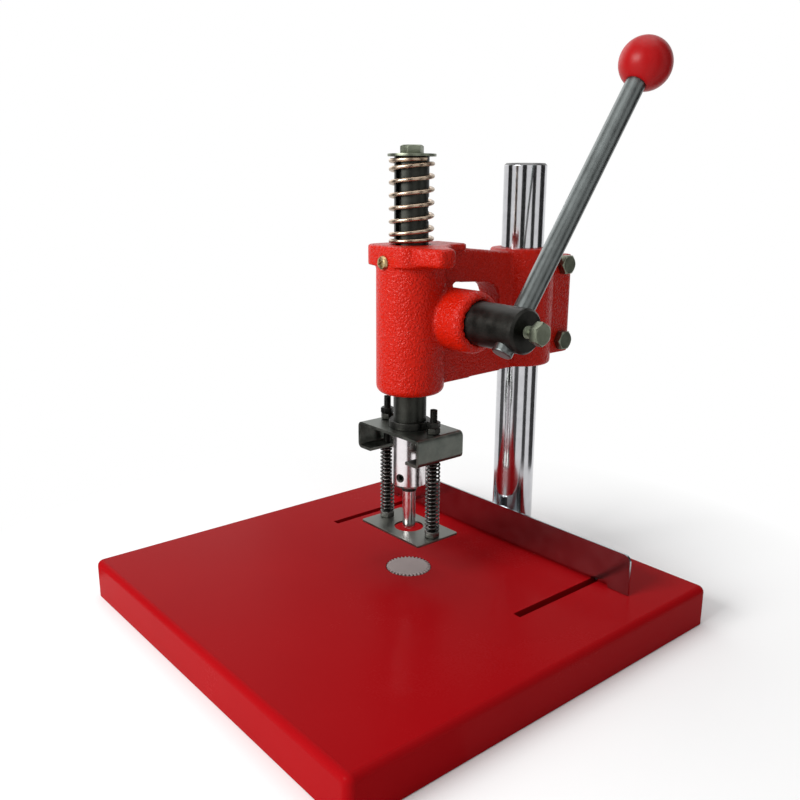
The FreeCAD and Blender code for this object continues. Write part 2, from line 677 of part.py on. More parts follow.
def head_casting():
    """One casting: barrel for the ram, arm with a window, split hub with ears, pinion boss."""
    body = new_body("head_casting", 0, RAM_Y, HEAD_Z)
    top = D.barrel_length
    barrel = circle(new_sketch(body, "barrel_round", "XY"), 0, 0, D.barrel_diameter)
    pad(body, "barrel", barrel, top)
    rounded(body, "barrel_rim", D.barrel_edge, lambda e: near(e.BoundBox.ZMax, 0))
    arm_top = top - D.arm_drop
    side = outline(new_sketch(body, "arm_side", "YZ"), [
        (0, D.arm_low), (D.throat, D.arm_low_hub), (D.throat, D.arm_high_hub),
        (D.crest_back + D.arm_level, arm_top), (0, arm_top),
    ])
    pad(body, "arm", side, D.arm_half * 2, both_ways=True)
    rounded(body, "arm_top_edges", D.arm_edge, lambda e: near(abs(middle(e, "X")), D.arm_half)
            and spans(e, "X") < 0.01 and middle(e, "Z") > D.window_high.number)
    window = outline(new_sketch(body, "window_side", "YZ"), [
        (D.window_front, D.window_low), (D.window_back, D.window_low),
        (D.window_back, D.window_high_back), (D.window_front, D.window_high),
    ])
    pocket(body, "window", window, (D.arm_half + D.past) * 2, both_ways=True)
    for name, radius, y, z in (
        ("window_back_low", D.window_corner, D.window_back, D.window_low),
        ("window_back_top", D.window_corner, D.window_back, D.window_high_back),
        ("window_front_low", D.window_corner_low, D.window_front, D.window_low),
        ("window_front_top", D.window_corner_top, D.window_front, D.window_high),
    ):
        rounded(body, name, radius, lambda e: spans(e, "Y") < 0.01 and spans(e, "Z") < 0.01
                and near(middle(e, "Y"), y) and near(middle(e, "Z"), z))
    hub_sketch = circle(new_sketch(body, "hub_round", "XY", D.hub_low), 0, D.throat, D.hub_diameter)
    pad(body, "hub", hub_sketch, D.hub_tall)
    ears = box(new_sketch(body, "ear_plan", "XY", D.hub_low),
               -D.ear_half, D.ear_half, D.throat, D.throat + D.ear_reach)
    pad(body, "ears", ears, D.hub_tall)
    ear_back = D.throat + D.ear_reach
    rounded(body, "ear_corners", D.ear_corner, lambda e: upright(e) and near(middle(e, "Y"), ear_back))
    rounded(body, "hub_rim", D.hub_edge, lambda e: spans(e, "Z") < 0.01 and middle(e, "Y") > D.throat.number
            and (near(middle(e, "Z"), D.hub_low) or near(middle(e, "Z"), D.hub_low + D.hub_tall)))
    collar = box(new_sketch(body, "collar_plan", "XY", top - D.collar_tall),
                 -D.collar_half, D.collar_half, -D.barrel_diameter / 2, D.collar_back)
    pad(body, "collar", collar, D.collar_tall)
    rounded(body, "collar_corners", D.collar_corner,
            lambda e: upright(e) and near(abs(middle(e, "X")), D.collar_half))
    crest = box(new_sketch(body, "crest_plan", "XY", top - D.crest_tall),
                -D.crest_half, D.crest_half, 0, D.crest_back)
    pad(body, "crest", crest, D.crest_tall)
    rounded(body, "crest_corners", D.arm_edge, lambda e: upright(e)
            and near(middle(e, "Y"), D.crest_back) and near(abs(middle(e, "X")), D.crest_half))
    pinion_y = D.rack_line + GEAR_RADIUS
    boss = circle(new_sketch(body, "boss_round", "YZ", -D.boss_left),
                  pinion_y, D.pinion_high, D.boss_diameter)
    pad(body, "boss", boss, D.boss_left + D.boss_right)
    rounded(body, "boss_rim", D.boss_edge, lambda e: spans(e, "X") < 0.01
            and (near(middle(e, "X"), D.boss_right) or near(middle(e, "X"), -D.boss_left)))
    fit = D.running_fit * 2
    bore = circle(new_sketch(body, "ram_bore_round", "XY", top), 0, 0, D.ram_diameter + fit)
    pocket(body, "ram_bore", bore)
    socket = circle(new_sketch(body, "column_bore_round", "XY", top), 0, D.throat, D.column_diameter + fit)
    pocket(body, "column_bore", socket)
    gear_bore = circle(new_sketch(body, "gear_bore_round", "YZ", D.boss_right),
                       pinion_y, D.pinion_high, PINION_DIAMETER + fit)
    pocket(body, "gear_bore", gear_bore, D.boss_right + D.gear_half + D.journal_gap)
    journal = circle(new_sketch(body, "journal_round", "YZ", D.boss_right),
                     pinion_y, D.pinion_high, D.journal_diameter + fit)
    pocket(body, "journal_bore", journal)
    slit_half = D.clamp_slit / 2
    slit = box(new_sketch(body, "slit_plan", "XY", top), -slit_half, slit_half, D.throat, ear_back + D.past)
    pocket(body, "clamp_slit", slit)
    holes = new_sketch(body, "clamp_holes", "YZ")
    for high in (D.clamp_bolt_low, D.clamp_bolt_high):
        circle(holes, D.throat + D.clamp_bolt_back, high, D.clamp_bolt + D.bolt_clearance)
    pocket(body, "clamp_bores", holes, (D.ear_half + D.past) * 2, both_ways=True)
    key_hole = circle(new_sketch(body, "key_round", "XZ"), 0, KEY_SCREW_HIGH, D.key_screw)
    pocket(body, "key_hole", key_hole, D.barrel_diameter, backwards=True)
    return body


def clamp_fixings():
    """Bolts and nuts that close the split hub on the column."""
    bolts, nuts = [], []
    y = COLUMN_Y + D.clamp_bolt_back
    grip = D.ear_half * 2 + D.clamp_nut + D.thread_past
    for name, high in (("lower", D.clamp_bolt_low), ("upper", D.clamp_bolt_high)):
        z = HEAD_Z + high
        bolts.append(bolt(name + "_clamp_bolt", D.clamp_bolt, grip, D.clamp_hex, D.clamp_head,
                          D.ear_half, y, z, TO_RIGHT))
        nuts.append(nut(name + "_clamp_nut", D.clamp_bolt, D.clamp_hex, D.clamp_nut,
                        -D.ear_half, y, z, TO_LEFT))
    group("clamp_bolts", bolts)
    group("clamp_nuts", nuts)


def key_screw():
    """Pan-head screw in the barrel; its dog point rides in the ram's keyway."""
    face = D.barrel_diameter / 2
    body = new_body("key_screw", 0, RAM_Y - face, HEAD_Z + KEY_SCREW_HIGH, TO_FRONT)
    head, tall = D.key_screw_head / 2, D.key_screw_head_tall
    shank, tip = D.key_screw / 2, D.key_screw_tip / 2
    bore_face = face - D.ram_diameter / 2 - D.key_screw_clear
    inner = -(bore_face + D.key_screw_clear + D.key_screw_entry)
    revolve(body, "screw", [
        (0, inner), (tip, inner), (tip, -bore_face), (shank, -bore_face), (shank, 0),
        (head, 0), (head, tall / 2), (D.key_screw_crown / 2, tall), (0, tall),
    ])
    return body


def involute(base_radius, radius):
    """Angle of the involute of base_radius at radius."""
    roll = math.acos(min(1.0, base_radius / radius))
    return math.tan(roll) - roll


def pinion_gap(sketch, middle_angle):
    """Outline of one gap between two teeth: root arc, two flanks and an open top."""
    module, teeth = D.gear_module.number, D.gear_teeth.number
    pitch_radius = module * teeth / 2
    root = pitch_radius - D.gear_dedendum.number
    outside = pitch_radius + module + D.past.number
    base_radius = pitch_radius * math.cos(math.radians(D.pressure_angle.number))
    play = D.gear_backlash.number / 2 / pitch_radius
    half_gap = math.pi / (2 * teeth) + play / 2

    def flank(radius):
        """Half angle of the gap at a radius."""
        at_pitch = involute(base_radius, pitch_radius)
        return half_gap + involute(base_radius, max(radius, base_radius)) - at_pitch

    def point(radius, side):
        angle = math.radians(middle_angle) + flank(radius) * side
        return Vector(radius * math.cos(angle), radius * math.sin(angle), 0)

    left = [point(r, 1) for r in (base_radius, (base_radius + outside) / 2, outside)]
    right = [point(r, -1) for r in (base_radius, (base_radius + outside) / 2, outside)]
    corner_left, corner_right = point(root, 1), point(root, -1)
    floor = (corner_left + corner_right).normalize() * root
    sketch.addGeometry(Part.Arc(left[0], left[1], left[2]))
    sketch.addGeometry(Part.LineSegment(left[2], right[2]))
    sketch.addGeometry(Part.Arc(right[2], right[1], right[0]))
    sketch.addGeometry(Part.LineSegment(right[0], corner_right))
    sketch.addGeometry(Part.Arc(corner_right, floor, corner_left))
    sketch.addGeometry(Part.LineSegment(corner_left, left[0]))
    return sketch


LEVER_LEAN = math.radians(D.lever_lean.number)
ALONG_LEVER = Vector(0, math.sin(LEVER_LEAN), math.cos(LEVER_LEAN))
ACROSS_LEVER = Vector(0, -math.cos(LEVER_LEAN), math.sin(LEVER_LEAN))
SHAFT_TURN = Rotation(ALONG_LEVER, ACROSS_LEVER, Vector(1, 0, 0), "ZXY")
LEVER_TURN = Rotation(Vector(1, 0, 0), -D.lever_lean.number)


def pinion_shaft():
    """Shaft with the pinion cut in it, a journal on the left and a cross hole for the lever."""
    body = new_body("pinion_shaft", 0, PINION_Y, PINION_Z, SHAFT_TURN)
    radius, right = PINION_DIAMETER / 2, D.shaft_right
    journal, groove = D.journal_diameter / 2, D.ring_groove / 2
    left = -(D.boss_left + D.journal_end)
    ring = -(D.boss_left + D.journal_gap)
    chamfer, drill = D.shaft_chamfer, D.lever_bolt / 2
    drilled = D.lever_x
    revolve(body, "shaft", [
        (0, left), (journal, left), (journal, ring - D.ring_thick), (groove, ring - D.ring_thick),
        (groove, ring), (journal, ring), (journal, -D.gear_half), (radius, -D.gear_half),
        (radius, right - chamfer), (radius - chamfer, right), (drill, right), (drill, drilled),
        (0, drilled),
    ])
    before = volume(body)
    tooth_at_rack = 90 + D.lever_lean.number
    half_tooth = 180 / D.gear_teeth.number
    gap = pinion_gap(new_sketch(body, "tooth_gap", "XY", D.gear_half), tooth_at_rack + half_tooth)
    cut = body.newObject("PartDesign::Pocket", "first_gap")
    cut.Profile = gap
    cut.Type = "Length"
    bind(cut, "Length", D.gear_half * 2 + D.past)
    checked_cut(body, cut, before)
    teeth = body.newObject("PartDesign::PolarPattern", "all_gaps")
    teeth.Originals = [cut]
    teeth.Axis = (gap, ["N_Axis"])
    teeth.Angle = 360
    teeth.Occurrences = int(D.gear_teeth.number)
    body.Tip = teeth
    bore = D.lever_diameter + D.running_fit * 2
    hole = circle(new_sketch(body, "lever_round", "YZ"), 0, D.lever_x, bore)
    pocket(body, "lever_hole", hole, PINION_DIAMETER + D.past * 2, both_ways=True)
    return body


def retaining_ring():
    """Snap ring that keeps the shaft from moving to the right."""
    x = -(D.boss_left + D.journal_gap + D.ring_thick)
    body = new_body("retaining_ring", x, PINION_Y, PINION_Z, TO_RIGHT)
    ring = circle(new_sketch(body, "ring_round", "XY"), 0, 0, D.ring_diameter)
    circle(ring, 0, 0, D.ring_groove)
    pad(body, "ring", ring, D.ring_thick)
    mouth = D.ring_mouth / 2
    gap = box(new_sketch(body, "mouth_plan", "XY", D.ring_thick), 0, D.ring_diameter, -mouth, mouth)
    pocket(body, "mouth", gap, D.ring_thick)
    return body


def lever():
    """Chromed rod through the shaft, clamped by the bolt in the shaft's end, with a ball knob."""
    rod = new_body("lever_rod", D.lever_x, PINION_Y, PINION_Z, LEVER_TURN)
    radius, chamfer = D.lever_diameter / 2, D.shaft_chamfer / 2
    low, high = -D.lever_stub, D.lever_reach - D.ball_socket
    revolve(rod, "rod", [
        (0, low), (radius - chamfer, low), (radius, low + chamfer), (radius, high), (0, high),
    ])
    ball = new_body("ball_knob", D.lever_x, PINION_Y, PINION_Z, LEVER_TURN)
    sketch = new_sketch(ball, "ball_profile", "XZ")
    knob_section(sketch, radius)
    feature = ball.newObject("PartDesign::Revolution", "ball")
    feature.Profile = sketch
    feature.ReferenceAxis = (sketch, ["V_Axis"])
    feature.Angle = 360
    seat = D.shaft_right + D.lever_bolt_stand
    length = seat - D.lever_x - radius - D.running_fit
    bolt("lever_clamp_bolt", D.lever_bolt, length, D.lever_bolt_hex, D.lever_bolt_head,
         seat, PINION_Y, PINION_Z, TO_RIGHT, turned=True)


def knob_section(sketch, bore):
    """Half section of the ball: a flat round the rod, the ball's arc, and the blind bore."""
    centre, ball, flat = D.lever_reach, D.ball_diameter / 2, D.ball_flat
    low, top, roof = centre - flat, centre + ball, centre - D.ball_socket
    rim = math.sqrt(ball.number ** 2 - flat.number ** 2)
    start, end = Vector(rim, low.number, 0), Vector(0, top.number, 0)
    side = Vector(ball.number, centre.number, 0)
    arc = sketch.addGeometry(Part.Arc(start, side, end))
    points = [end, Vector(0, roof.number, 0), Vector(bore.number, roof.number, 0),
              Vector(bore.number, low.number, 0), start]
    lines = [sketch.addGeometry(Part.LineSegment(a, b)) for a, b in zip(points, points[1:])]
    chain = [(arc, 2, lines[0], 1)]
    chain += [(lines[i], 2, lines[i + 1], 1) for i in range(len(lines) - 1)]
    chain.append((lines[-1], 2, arc, 1))
    for first, end_a, second, end_b in chain:
        sketch.addConstraint(Sketcher.Constraint("Coincident", first, end_a, second, end_b))
    hold(sketch, arc, 3, 0, centre)
    hold(sketch, lines[0], 1, 0, top)
    hold(sketch, lines[0], 2, 0, roof)
    hold(sketch, lines[2], 1, bore, roof)
    hold(sketch, lines[3], 1, bore, low)
    hold_along(sketch, "DistanceY", lines[3], 2, low)


def ram():
    """Round bar with the rack down its back, a keyway down its front and a spigot at its foot."""
    foot = BRACKET_Z + D.collar_ring_tall
    body = new_body("ram", 0, RAM_Y, foot)
    radius, spigot = D.ram_diameter / 2, D.spigot / 2
    tall = RAM_TOP_Z - foot
    low = BRACKET_Z - D.spigot_length - foot
    drill, depth = D.top_bolt / 2, D.top_bolt_length
    revolve(body, "bar", [
        (0, low), (spigot, low), (spigot, 0), (radius, 0), (radius, tall), (drill, tall),
        (drill, tall - depth), (0, tall - depth),
    ])
    first = PINION_Z - foot - RACK_PITCH * D.rack_start
    last = first + RACK_PITCH * (D.rack_gaps - 1)
    flat = box(new_sketch(body, "rack_flat_side", "YZ"), RACK_TIP, radius + D.past,
               first - RACK_PITCH / 2, last + RACK_PITCH / 2)
    pocket(body, "rack_flat", flat, D.ram_diameter, both_ways=True)
    quarter = RACK_PITCH / 4 + D.gear_backlash / 4
    reach = RACK_TIP + D.past
    low_half = quarter - (D.rack_line - RACK_ROOT) * TAN_PRESSURE
    high_half = quarter + (reach - D.rack_line) * TAN_PRESSURE
    gap = outline(new_sketch(body, "rack_gap", "YZ"), [
        (RACK_ROOT, first - low_half), (reach, first - high_half),
        (reach, first + high_half), (RACK_ROOT, first + low_half),
    ])
    cut = pocket(body, "first_gap", gap, D.ram_diameter, both_ways=True)
    rack = body.newObject("PartDesign::LinearPattern", "rack")
    rack.Originals = [cut]
    rack.Direction = (gap, ["V_Axis"])
    rack.Occurrences = int(D.rack_gaps.number)
    bind(rack, "Length", RACK_PITCH * (D.rack_gaps - 1))
    body.Tip = rack
    half = D.keyway / 2
    start = HEAD_Z + KEY_SCREW_HIGH - foot - D.keyway_low
    groove = box(new_sketch(body, "keyway_plan", "XY", tall),
                 -half, half, -radius - D.past, D.keyway_depth - radius)
    pocket(body, "keyway", groove, tall - start)
    return body


def ram_top():
    """Washer over the spring and the bolt that holds it."""
    washer("top_washer", D.top_bolt, D.top_washer, D.top_washer_thick, 0, RAM_Y, RAM_TOP_Z)
    bolt("top_bolt", D.top_bolt, D.top_bolt_length, D.top_bolt_hex, D.top_bolt_head,
         0, RAM_Y, RAM_TOP_Z + D.top_washer_thick, turned=True)


def bracket():
    """Lipped channel across the ram, open downwards, bored for the spigot and the guide rods."""
    body = new_body("bracket", 0, RAM_Y, BRACKET_Z)
    half, tall, thick, lip = D.bracket_half, D.bracket_tall, D.bracket_sheet, D.bracket_lip
    section = outline(new_sketch(body, "channel_section", "XZ"), [
        (-half + lip, -tall), (-half, -tall), (-half, 0), (half, 0), (half, -tall), (half - lip, -tall),
        (half - lip, -tall + thick), (half - thick, -tall + thick), (half - thick, -thick),
        (-half + thick, -thick), (-half + thick, -tall + thick), (-half + lip, -tall + thick),
    ])
    pad(body, "channel", section, D.bracket_deep, both_ways=True)
    inside = D.bracket_bend
    rounded(body, "outer_bends", inside + thick, lambda e: spans(e, "X") < 0.01 and spans(e, "Z") < 0.01
            and near(abs(middle(e, "X")), half))
    rounded(body, "inner_bends", inside, lambda e: spans(e, "X") < 0.01 and spans(e, "Z") < 0.01
            and near(abs(middle(e, "X")), half - thick)
            and (near(middle(e, "Z"), -thick) or near(middle(e, "Z"), thick - tall)))
    holes = new_sketch(body, "holes", "XY", D.past)
    circle(holes, 0, 0, D.spigot + D.running_fit * 2)
    for side in (-1, 1):
        circle(holes, D.rod_x * side, 0, D.rod_diameter + D.rod_hole_gap * 2)
    pocket(body, "bores", holes)
    return body


def bit_holder():
    """Collar over the bracket, chuck under it, its set screw, and the hollow bit."""
    ring = new_body("locking_collar", 0, RAM_Y, BRACKET_Z)
    rings = circle(new_sketch(ring, "collar_round", "XY"), 0, 0, D.collar_ring)
    circle(rings, 0, 0, D.spigot)
    pad(ring, "collar_disc", rings, D.collar_ring_tall)
    low = TABLE + D.chuck_bottom
    chuck = new_body("chuck", 0, RAM_Y, low)
    radius, spigot, chamfer = D.chuck_diameter / 2, D.spigot / 2, D.chuck_chamfer
    tall = BRACKET_Z - D.bracket_sheet - low
    spigot_end = BRACKET_Z - D.spigot_length - low
    shank = D.bit_shank / 2
    revolve(chuck, "chuck_turned", [
        (shank, 0), (radius - chamfer, 0), (radius, chamfer), (radius, tall), (spigot, tall),
        (spigot, spigot_end), (shank, spigot_end),
    ])
    tapping = circle(new_sketch(chuck, "screw_round", "XZ"), 0, D.set_screw_high, D.set_screw)
    pocket(chuck, "screw_hole", tapping, D.chuck_diameter, backwards=True)
    screw = new_body("chuck_set_screw", 0, RAM_Y, low + D.set_screw_high, TO_FRONT)
    outer = radius - D.set_screw_recess
    key = hexagon(new_sketch(screw, "screw_round", "XY", outer), 0, 0, D.set_screw / 2)
    body_round = circle(new_sketch(screw, "screw_body", "XY", shank), 0, 0, D.set_screw)
    pad(screw, "screw", body_round, outer - shank)
    pocket(screw, "hexagon_socket", key, D.set_screw / 2)
    bit = new_body("hollow_bit", 0, RAM_Y, TABLE + D.bit_tip)
    barrel, shoulder = D.bit_diameter / 2, D.bit_ring / 2
    mouth, bore = D.bit_mouth / 2, D.bit_bore / 2
    shoulder_high = D.chuck_bottom - D.bit_tip
    shoulder_low = shoulder_high - D.bit_ring_tall
    end = shoulder_high + D.bit_shank_length
    revolve(bit, "bit", [
        (bore, 0), (mouth, 0), (barrel, D.bit_cone), (barrel, shoulder_low), (shoulder, shoulder_low),
        (shoulder, shoulder_high), (shank, shoulder_high), (shank, end), (bore, end),
    ])


def stripper():
    """Plate that holds the paper down, on two threaded rods with their nuts."""
    plate = new_body("stripper_plate", 0, RAM_Y, PLATE_Z - D.plate_sheet)
    half, deep = D.plate_width / 2, D.plate_deep / 2
    plan = box(new_sketch(plate, "plate_plan", "XY"), -half, half, -deep, deep)
    circle(plan, 0, 0, D.plate_hole)
    for side in (-1, 1):
        circle(plan, D.rod_x * side, 0, D.rod_diameter)
    pad(plate, "plate", plan, D.plate_sheet)
    rounded(plate, "corners", D.plate_corner, lambda e: upright(e) and near(abs(middle(e, "X")), half))
    rods, top_nuts, foot_nuts = [], [], []
    low = PLATE_Z - D.plate_sheet
    for name, side in (("left", -1), ("right", 1)):
        x = D.rod_x * side
        rod = new_body(name + "_rod", x, RAM_Y, low)
        round_bar = circle(new_sketch(rod, name + "_rod_round", "XY"), 0, 0, D.rod_diameter)
        pad(rod, name + "_rod_bar", round_bar, TABLE + D.rod_top - low)
        rods.append(rod)
        foot_nuts.append(nut(name + "_foot_nut", D.rod_diameter, D.foot_nut_hex, D.foot_nut_tall,
                             x, RAM_Y, PLATE_Z))
        for number in range(int(D.rod_nuts.number)):
            z = BRACKET_Z + D.nut_gap + D.rod_nut_tall * number
            top_nuts.append(nut("%s_rod_nut_%d" % (name, number + 1), D.rod_diameter, D.rod_nut_hex,
                                D.rod_nut_tall, x, RAM_Y, z, turned=number % 2 == 1))
    group("guide_rods", rods)
    group("rod_top_nuts", top_nuts)
    group("rod_foot_nuts", foot_nuts)


def two_arcs(start, along, end, along_end):
    """Two arcs from start to end that meet with one tangent and keep both end directions."""
    chord = end - start
    both = along + along_end
    spread = 2.0 * (1.0 - along.dot(along_end))
    reach = chord.dot(both)
    if spread > 1e-9:
        length = (math.sqrt(reach * reach + spread * chord.dot(chord)) - reach) / spread
    else:
        length = chord.dot(chord) / (4.0 * chord.dot(along_end))
    meet = (start + along * length + end - along_end * length) * 0.5
    turn = (end - along_end * length) - (start + along * length)
    turn.normalize()
    return [one_arc(start, along, meet), one_arc(meet, turn, end)]


def one_arc(start, along, end):
    """The arc that leaves start along a direction and reaches end."""
    chord = end - start
    side = chord - along * chord.dot(along)
    side.normalize()
    radius = chord.dot(chord) / (2.0 * chord.dot(side))
    centre = start + side * radius
    crown = (start + end) * 0.5 - centre
    crown.normalize()
    return Part.Arc(start, centre + crown * radius, end).toShape()


def spring(label, x, y, low, high, wire, diameter, open_turns, end_pitch, sides):
    """Compression spring: two arcs to each quarter turn, a close turn at both ends, straight tails.

    The wire has flat sides, its ends lie flat on their seats, and the least gap between two turns
    is measured on points and printed.
    """
    radius = (diameter - wire) / 2
    tall = high - low - wire
    open_pitch = (tall - 2 * end_pitch) / open_turns
    pitches = [end_pitch] * 4 + [open_pitch] * (4 * int(open_turns)) + [end_pitch] * 4
    height, points = wire / 2, []
    for number in range(len(pitches) + 1):
        angle = math.pi / 2 * number
        points.append(Vector(radius * math.cos(angle), radius * math.sin(angle), height))
        height += pitches[min(number, len(pitches) - 1)] / 4

    def direction(number):
        angle = math.pi / 2 * number
        before = pitches[max(number - 1, 0)]
        after = pitches[min(number, len(pitches) - 1)]
        climb = 0 if number in (0, len(pitches)) else (before + after) / 2 / (2 * math.pi)
        along = Vector(-radius * math.sin(angle), radius * math.cos(angle), climb)
        return along.normalize()

    edges = [Part.makeLine(points[0] - direction(0) * wire, points[0])]
    for number in range(len(pitches)):
        edges += two_arcs(points[number], direction(number), points[number + 1], direction(number + 1))
    last = len(pitches)
    edges.append(Part.makeLine(points[last], points[last] + direction(last) * wire))
    path = Part.Wire(edges)
    start = points[0] - direction(0) * wire
    across, up = Vector(1, 0, 0), Vector(0, 0, 1)
    flat_turn = math.pi / sides
    corner = wire / 2 / math.cos(flat_turn)
    ring = []
    for number in range(sides):
        angle = -math.pi / 2 + flat_turn + 2 * math.pi * number / sides
        ring.append(start + across * (corner * math.cos(angle)) + up * (corner * math.sin(angle)))
    shell = Part.BRepOffsetAPI.MakePipeShell(path)
    shell.add(Part.makePolygon(ring + ring[:1]), False, False)
    shell.build()
    shell.makeSolid()
    feature = document.addObject("Part::Feature", label)
    feature.Label = label
    feature.Shape = shell.shape()
    feature.Placement = Placement(Vector(x, y, low), Rotation())
    steps = 11
    samples = [edge.discretize(steps + 1) for edge in edges]
    line = [point for part in samples for point in part[:-1]]
    half_turn = steps * 4
    least = min(
        a.distanceToPoint(b)
        for i, a in enumerate(line)
        for b in line[i + half_turn:]
    ) - wire
    print("%s: %d turns, least gap to itself %.2f mm" % (label, len(pitches) // 4, least))
    return feature


def springs():
    gap = D.spring_seat_gap
    low, high = SEAT_Z + gap, RAM_TOP_Z - gap
    spring("return_spring", 0, RAM_Y.number, low.number, high.number, D.return_wire.number,
           D.return_diameter.number, D.return_turns.number, D.return_end_pitch.number, 6)
    low, high = FOOT_Z + gap, LIP_Z - gap
    for name, side in (("left", -1), ("right", 1)):
        x = D.rod_x.number * side
        spring("%s_stripper_spring" % name, x, RAM_Y.number, low.number, high.number,
               D.stripper_wire.number, D.stripper_diameter.number, D.stripper_turns.number,
               D.stripper_end_pitch.number, 5)


PIECES = [
    "base_pan", "column", "column_washer", "column_bolt", "cutting_pad", "fence", "fence_bolts",
    "fence_nuts", "head_casting", "clamp_bolts", "clamp_nuts", "key_screw",
    "pinion_shaft", "retaining_ring", "lever_rod", "ball_knob", "lever_clamp_bolt", "ram",
    "return_spring", "top_washer", "top_bolt", "locking_collar", "bracket", "chuck",
    "chuck_set_screw", "hollow_bit", "stripper_plate", "guide_rods", "rod_top_nuts",
    "rod_foot_nuts", "left_stripper_spring", "right_stripper_spring",
]


def check():
    """Every object recomputed, and every sub-part one valid shape."""
    document.recompute()
    for thing in document.Objects:
        if "Invalid" in thing.State or "Error" in thing.State:
            raise ValueError("%s is %s" % (thing.Name, thing.State))
    for label in PIECES:
        shape = document.getObjectsByLabel(label)[0].Shape
        if shape.isNull() or not shape.isValid():
            raise ValueError("%s has no valid shape" % label)


def write():
    os.makedirs("parts", exist_ok=True)
    for label in PIECES:
        document.getObjectsByLabel(label)[0].Shape.exportStep("parts/%s.step" % label)


base_pan()
column()
column_fixing()
cutting_pad()
fence()
fence_fixings()
head_casting()
clamp_fixings()
key_screw()
pinion_shaft()
retaining_ring()
lever()
ram()
ram_top()
bracket()
bit_holder()
stripper()
springs()
check()
write()
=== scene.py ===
import bpy
from math import asin, cos, pi, radians, sin, sqrt
from mathutils import Matrix, Vector


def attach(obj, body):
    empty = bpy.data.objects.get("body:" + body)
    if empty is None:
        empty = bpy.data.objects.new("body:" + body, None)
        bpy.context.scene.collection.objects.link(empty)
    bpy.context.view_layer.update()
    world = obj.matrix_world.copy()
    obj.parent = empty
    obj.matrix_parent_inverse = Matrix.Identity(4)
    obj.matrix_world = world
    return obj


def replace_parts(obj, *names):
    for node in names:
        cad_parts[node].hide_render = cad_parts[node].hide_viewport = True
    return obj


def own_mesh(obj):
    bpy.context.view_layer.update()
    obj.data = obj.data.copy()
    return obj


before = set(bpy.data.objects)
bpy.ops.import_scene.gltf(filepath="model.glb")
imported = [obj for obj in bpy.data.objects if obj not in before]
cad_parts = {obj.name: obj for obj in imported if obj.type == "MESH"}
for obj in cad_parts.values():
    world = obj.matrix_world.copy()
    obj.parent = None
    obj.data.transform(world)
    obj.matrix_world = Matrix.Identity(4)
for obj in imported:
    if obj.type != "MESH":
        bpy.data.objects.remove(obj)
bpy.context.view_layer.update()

# Sizes in metres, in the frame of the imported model: +Z up, +Y to the back, lever at +X.
MM = 0.001
SAME_PLACE = 1e-6
SHARP = radians(34)
RAM_Y = 6.4 * MM
COLUMN_Y = 111.4 * MM
HEAD_Z = 153.5 * MM
SEAT_Z = 249.8 * MM
RAM_TOP_Z = 303.5 * MM
PINION_Y = 26.4 * MM
PINION_Z = 202.5 * MM
LEVER_X = 72 * MM
LEVER_LEAN = radians(35.6)
SHAFT_RIGHT = 83 * MM
BRACKET_Z = 129.5 * MM
LIP_Z = 111 * MM
PLATE_Z = 57.5 * MM
FOOT_Z = 62 * MM
ROD_X = 23.7 * MM
SEAT_GAP = 0.2 * MM
HUB_RADIUS = 23 * MM
EARS_LOW = 164.6 * MM
EARS_TOP = 236.9 * MM
CLAMP_Y = COLUMN_Y + 32.5 * MM
CLAMP_LEVELS = (HEAD_Z + 20.7 * MM, HEAD_Z + 76.5 * MM)
BOSS_RADIUS = 20 * MM
BOSS_RIGHT = 44 * MM
BOSS_RIM = 5.5 * MM
PAD_LOW = 18 * MM
PAD_TOP = 27.4 * MM
PAD_TEETH = 34
CHUCK_TURN = 17.5
BIT_BARREL = 4.6 * MM
CAMERA_PLACE = (0.41676, -0.35318, 0.29038)
CAMERA_SWING = 49.902
CAMERA_DIP = 14.569
CAMERA_ROLL = 0.309
CAMERA_FOCUS = 853.5 / 800


def node(tree, kind, **values):
    """A node of one kind with its settings and the values of its sockets."""
    made = tree.nodes.new(kind)
    for name, value in values.items():
        setattr(made, name, value)
    return made


def new_group(name, inputs, outputs):
    """A node group with named number inputs and named outputs."""
    group = bpy.data.node_groups.new(name, "ShaderNodeTree")
    for label, start in inputs:
        socket = group.interface.new_socket(label, in_out="INPUT", socket_type="NodeSocketFloat")
        socket.default_value = start
    for label in outputs:
        group.interface.new_socket(label, in_out="OUTPUT", socket_type="NodeSocketFloat")
    return group, group.nodes.new("NodeGroupInput"), group.nodes.new("NodeGroupOutput")


def noise(tree, source, scale, detail=3.0, roughness=0.55):
    """Noise of a scale that is a number or comes from a socket."""
    made = node(tree, "ShaderNodeTexNoise")
    made.inputs["Detail"].default_value = detail
    made.inputs["Roughness"].default_value = roughness
    tree.links.new(source, made.inputs["Vector"])
    if isinstance(scale, (int, float)):
        made.inputs["Scale"].default_value = scale
    else:
        tree.links.new(scale, made.inputs["Scale"])
    return made.outputs["Fac"]


def remap(tree, value, low, high, start=0.0, end=1.0):
    """A value moved from one range to another."""
    made = node(tree, "ShaderNodeMapRange")
    for name, number in (("From Min", low), ("From Max", high), ("To Min", start), ("To Max", end)):
        if isinstance(number, (int, float)):
            made.inputs[name].default_value = number
        else:
            tree.links.new(number, made.inputs[name])
    tree.links.new(value, made.inputs["Value"])
    return made.outputs["Result"]


def maths(tree, operation, first, second):
    """One sum of numbers or sockets."""
    made = node(tree, "ShaderNodeMath", operation=operation)
    for socket, value in zip(made.inputs, (first, second)):
        if isinstance(value, (int, float)):
            socket.default_value = value
        else:
            tree.links.new(value, socket)
    return made.outputs[0]


def object_place(tree, turn=(0, 0, 0)):
    """Object coordinates, turned for a pattern."""
    place = node(tree, "ShaderNodeTexCoord").outputs["Object"]
    mapping = node(tree, "ShaderNodeMapping")
    mapping.inputs["Rotation"].default_value = turn
    tree.links.new(place, mapping.inputs["Vector"])
    return mapping.outputs["Vector"]


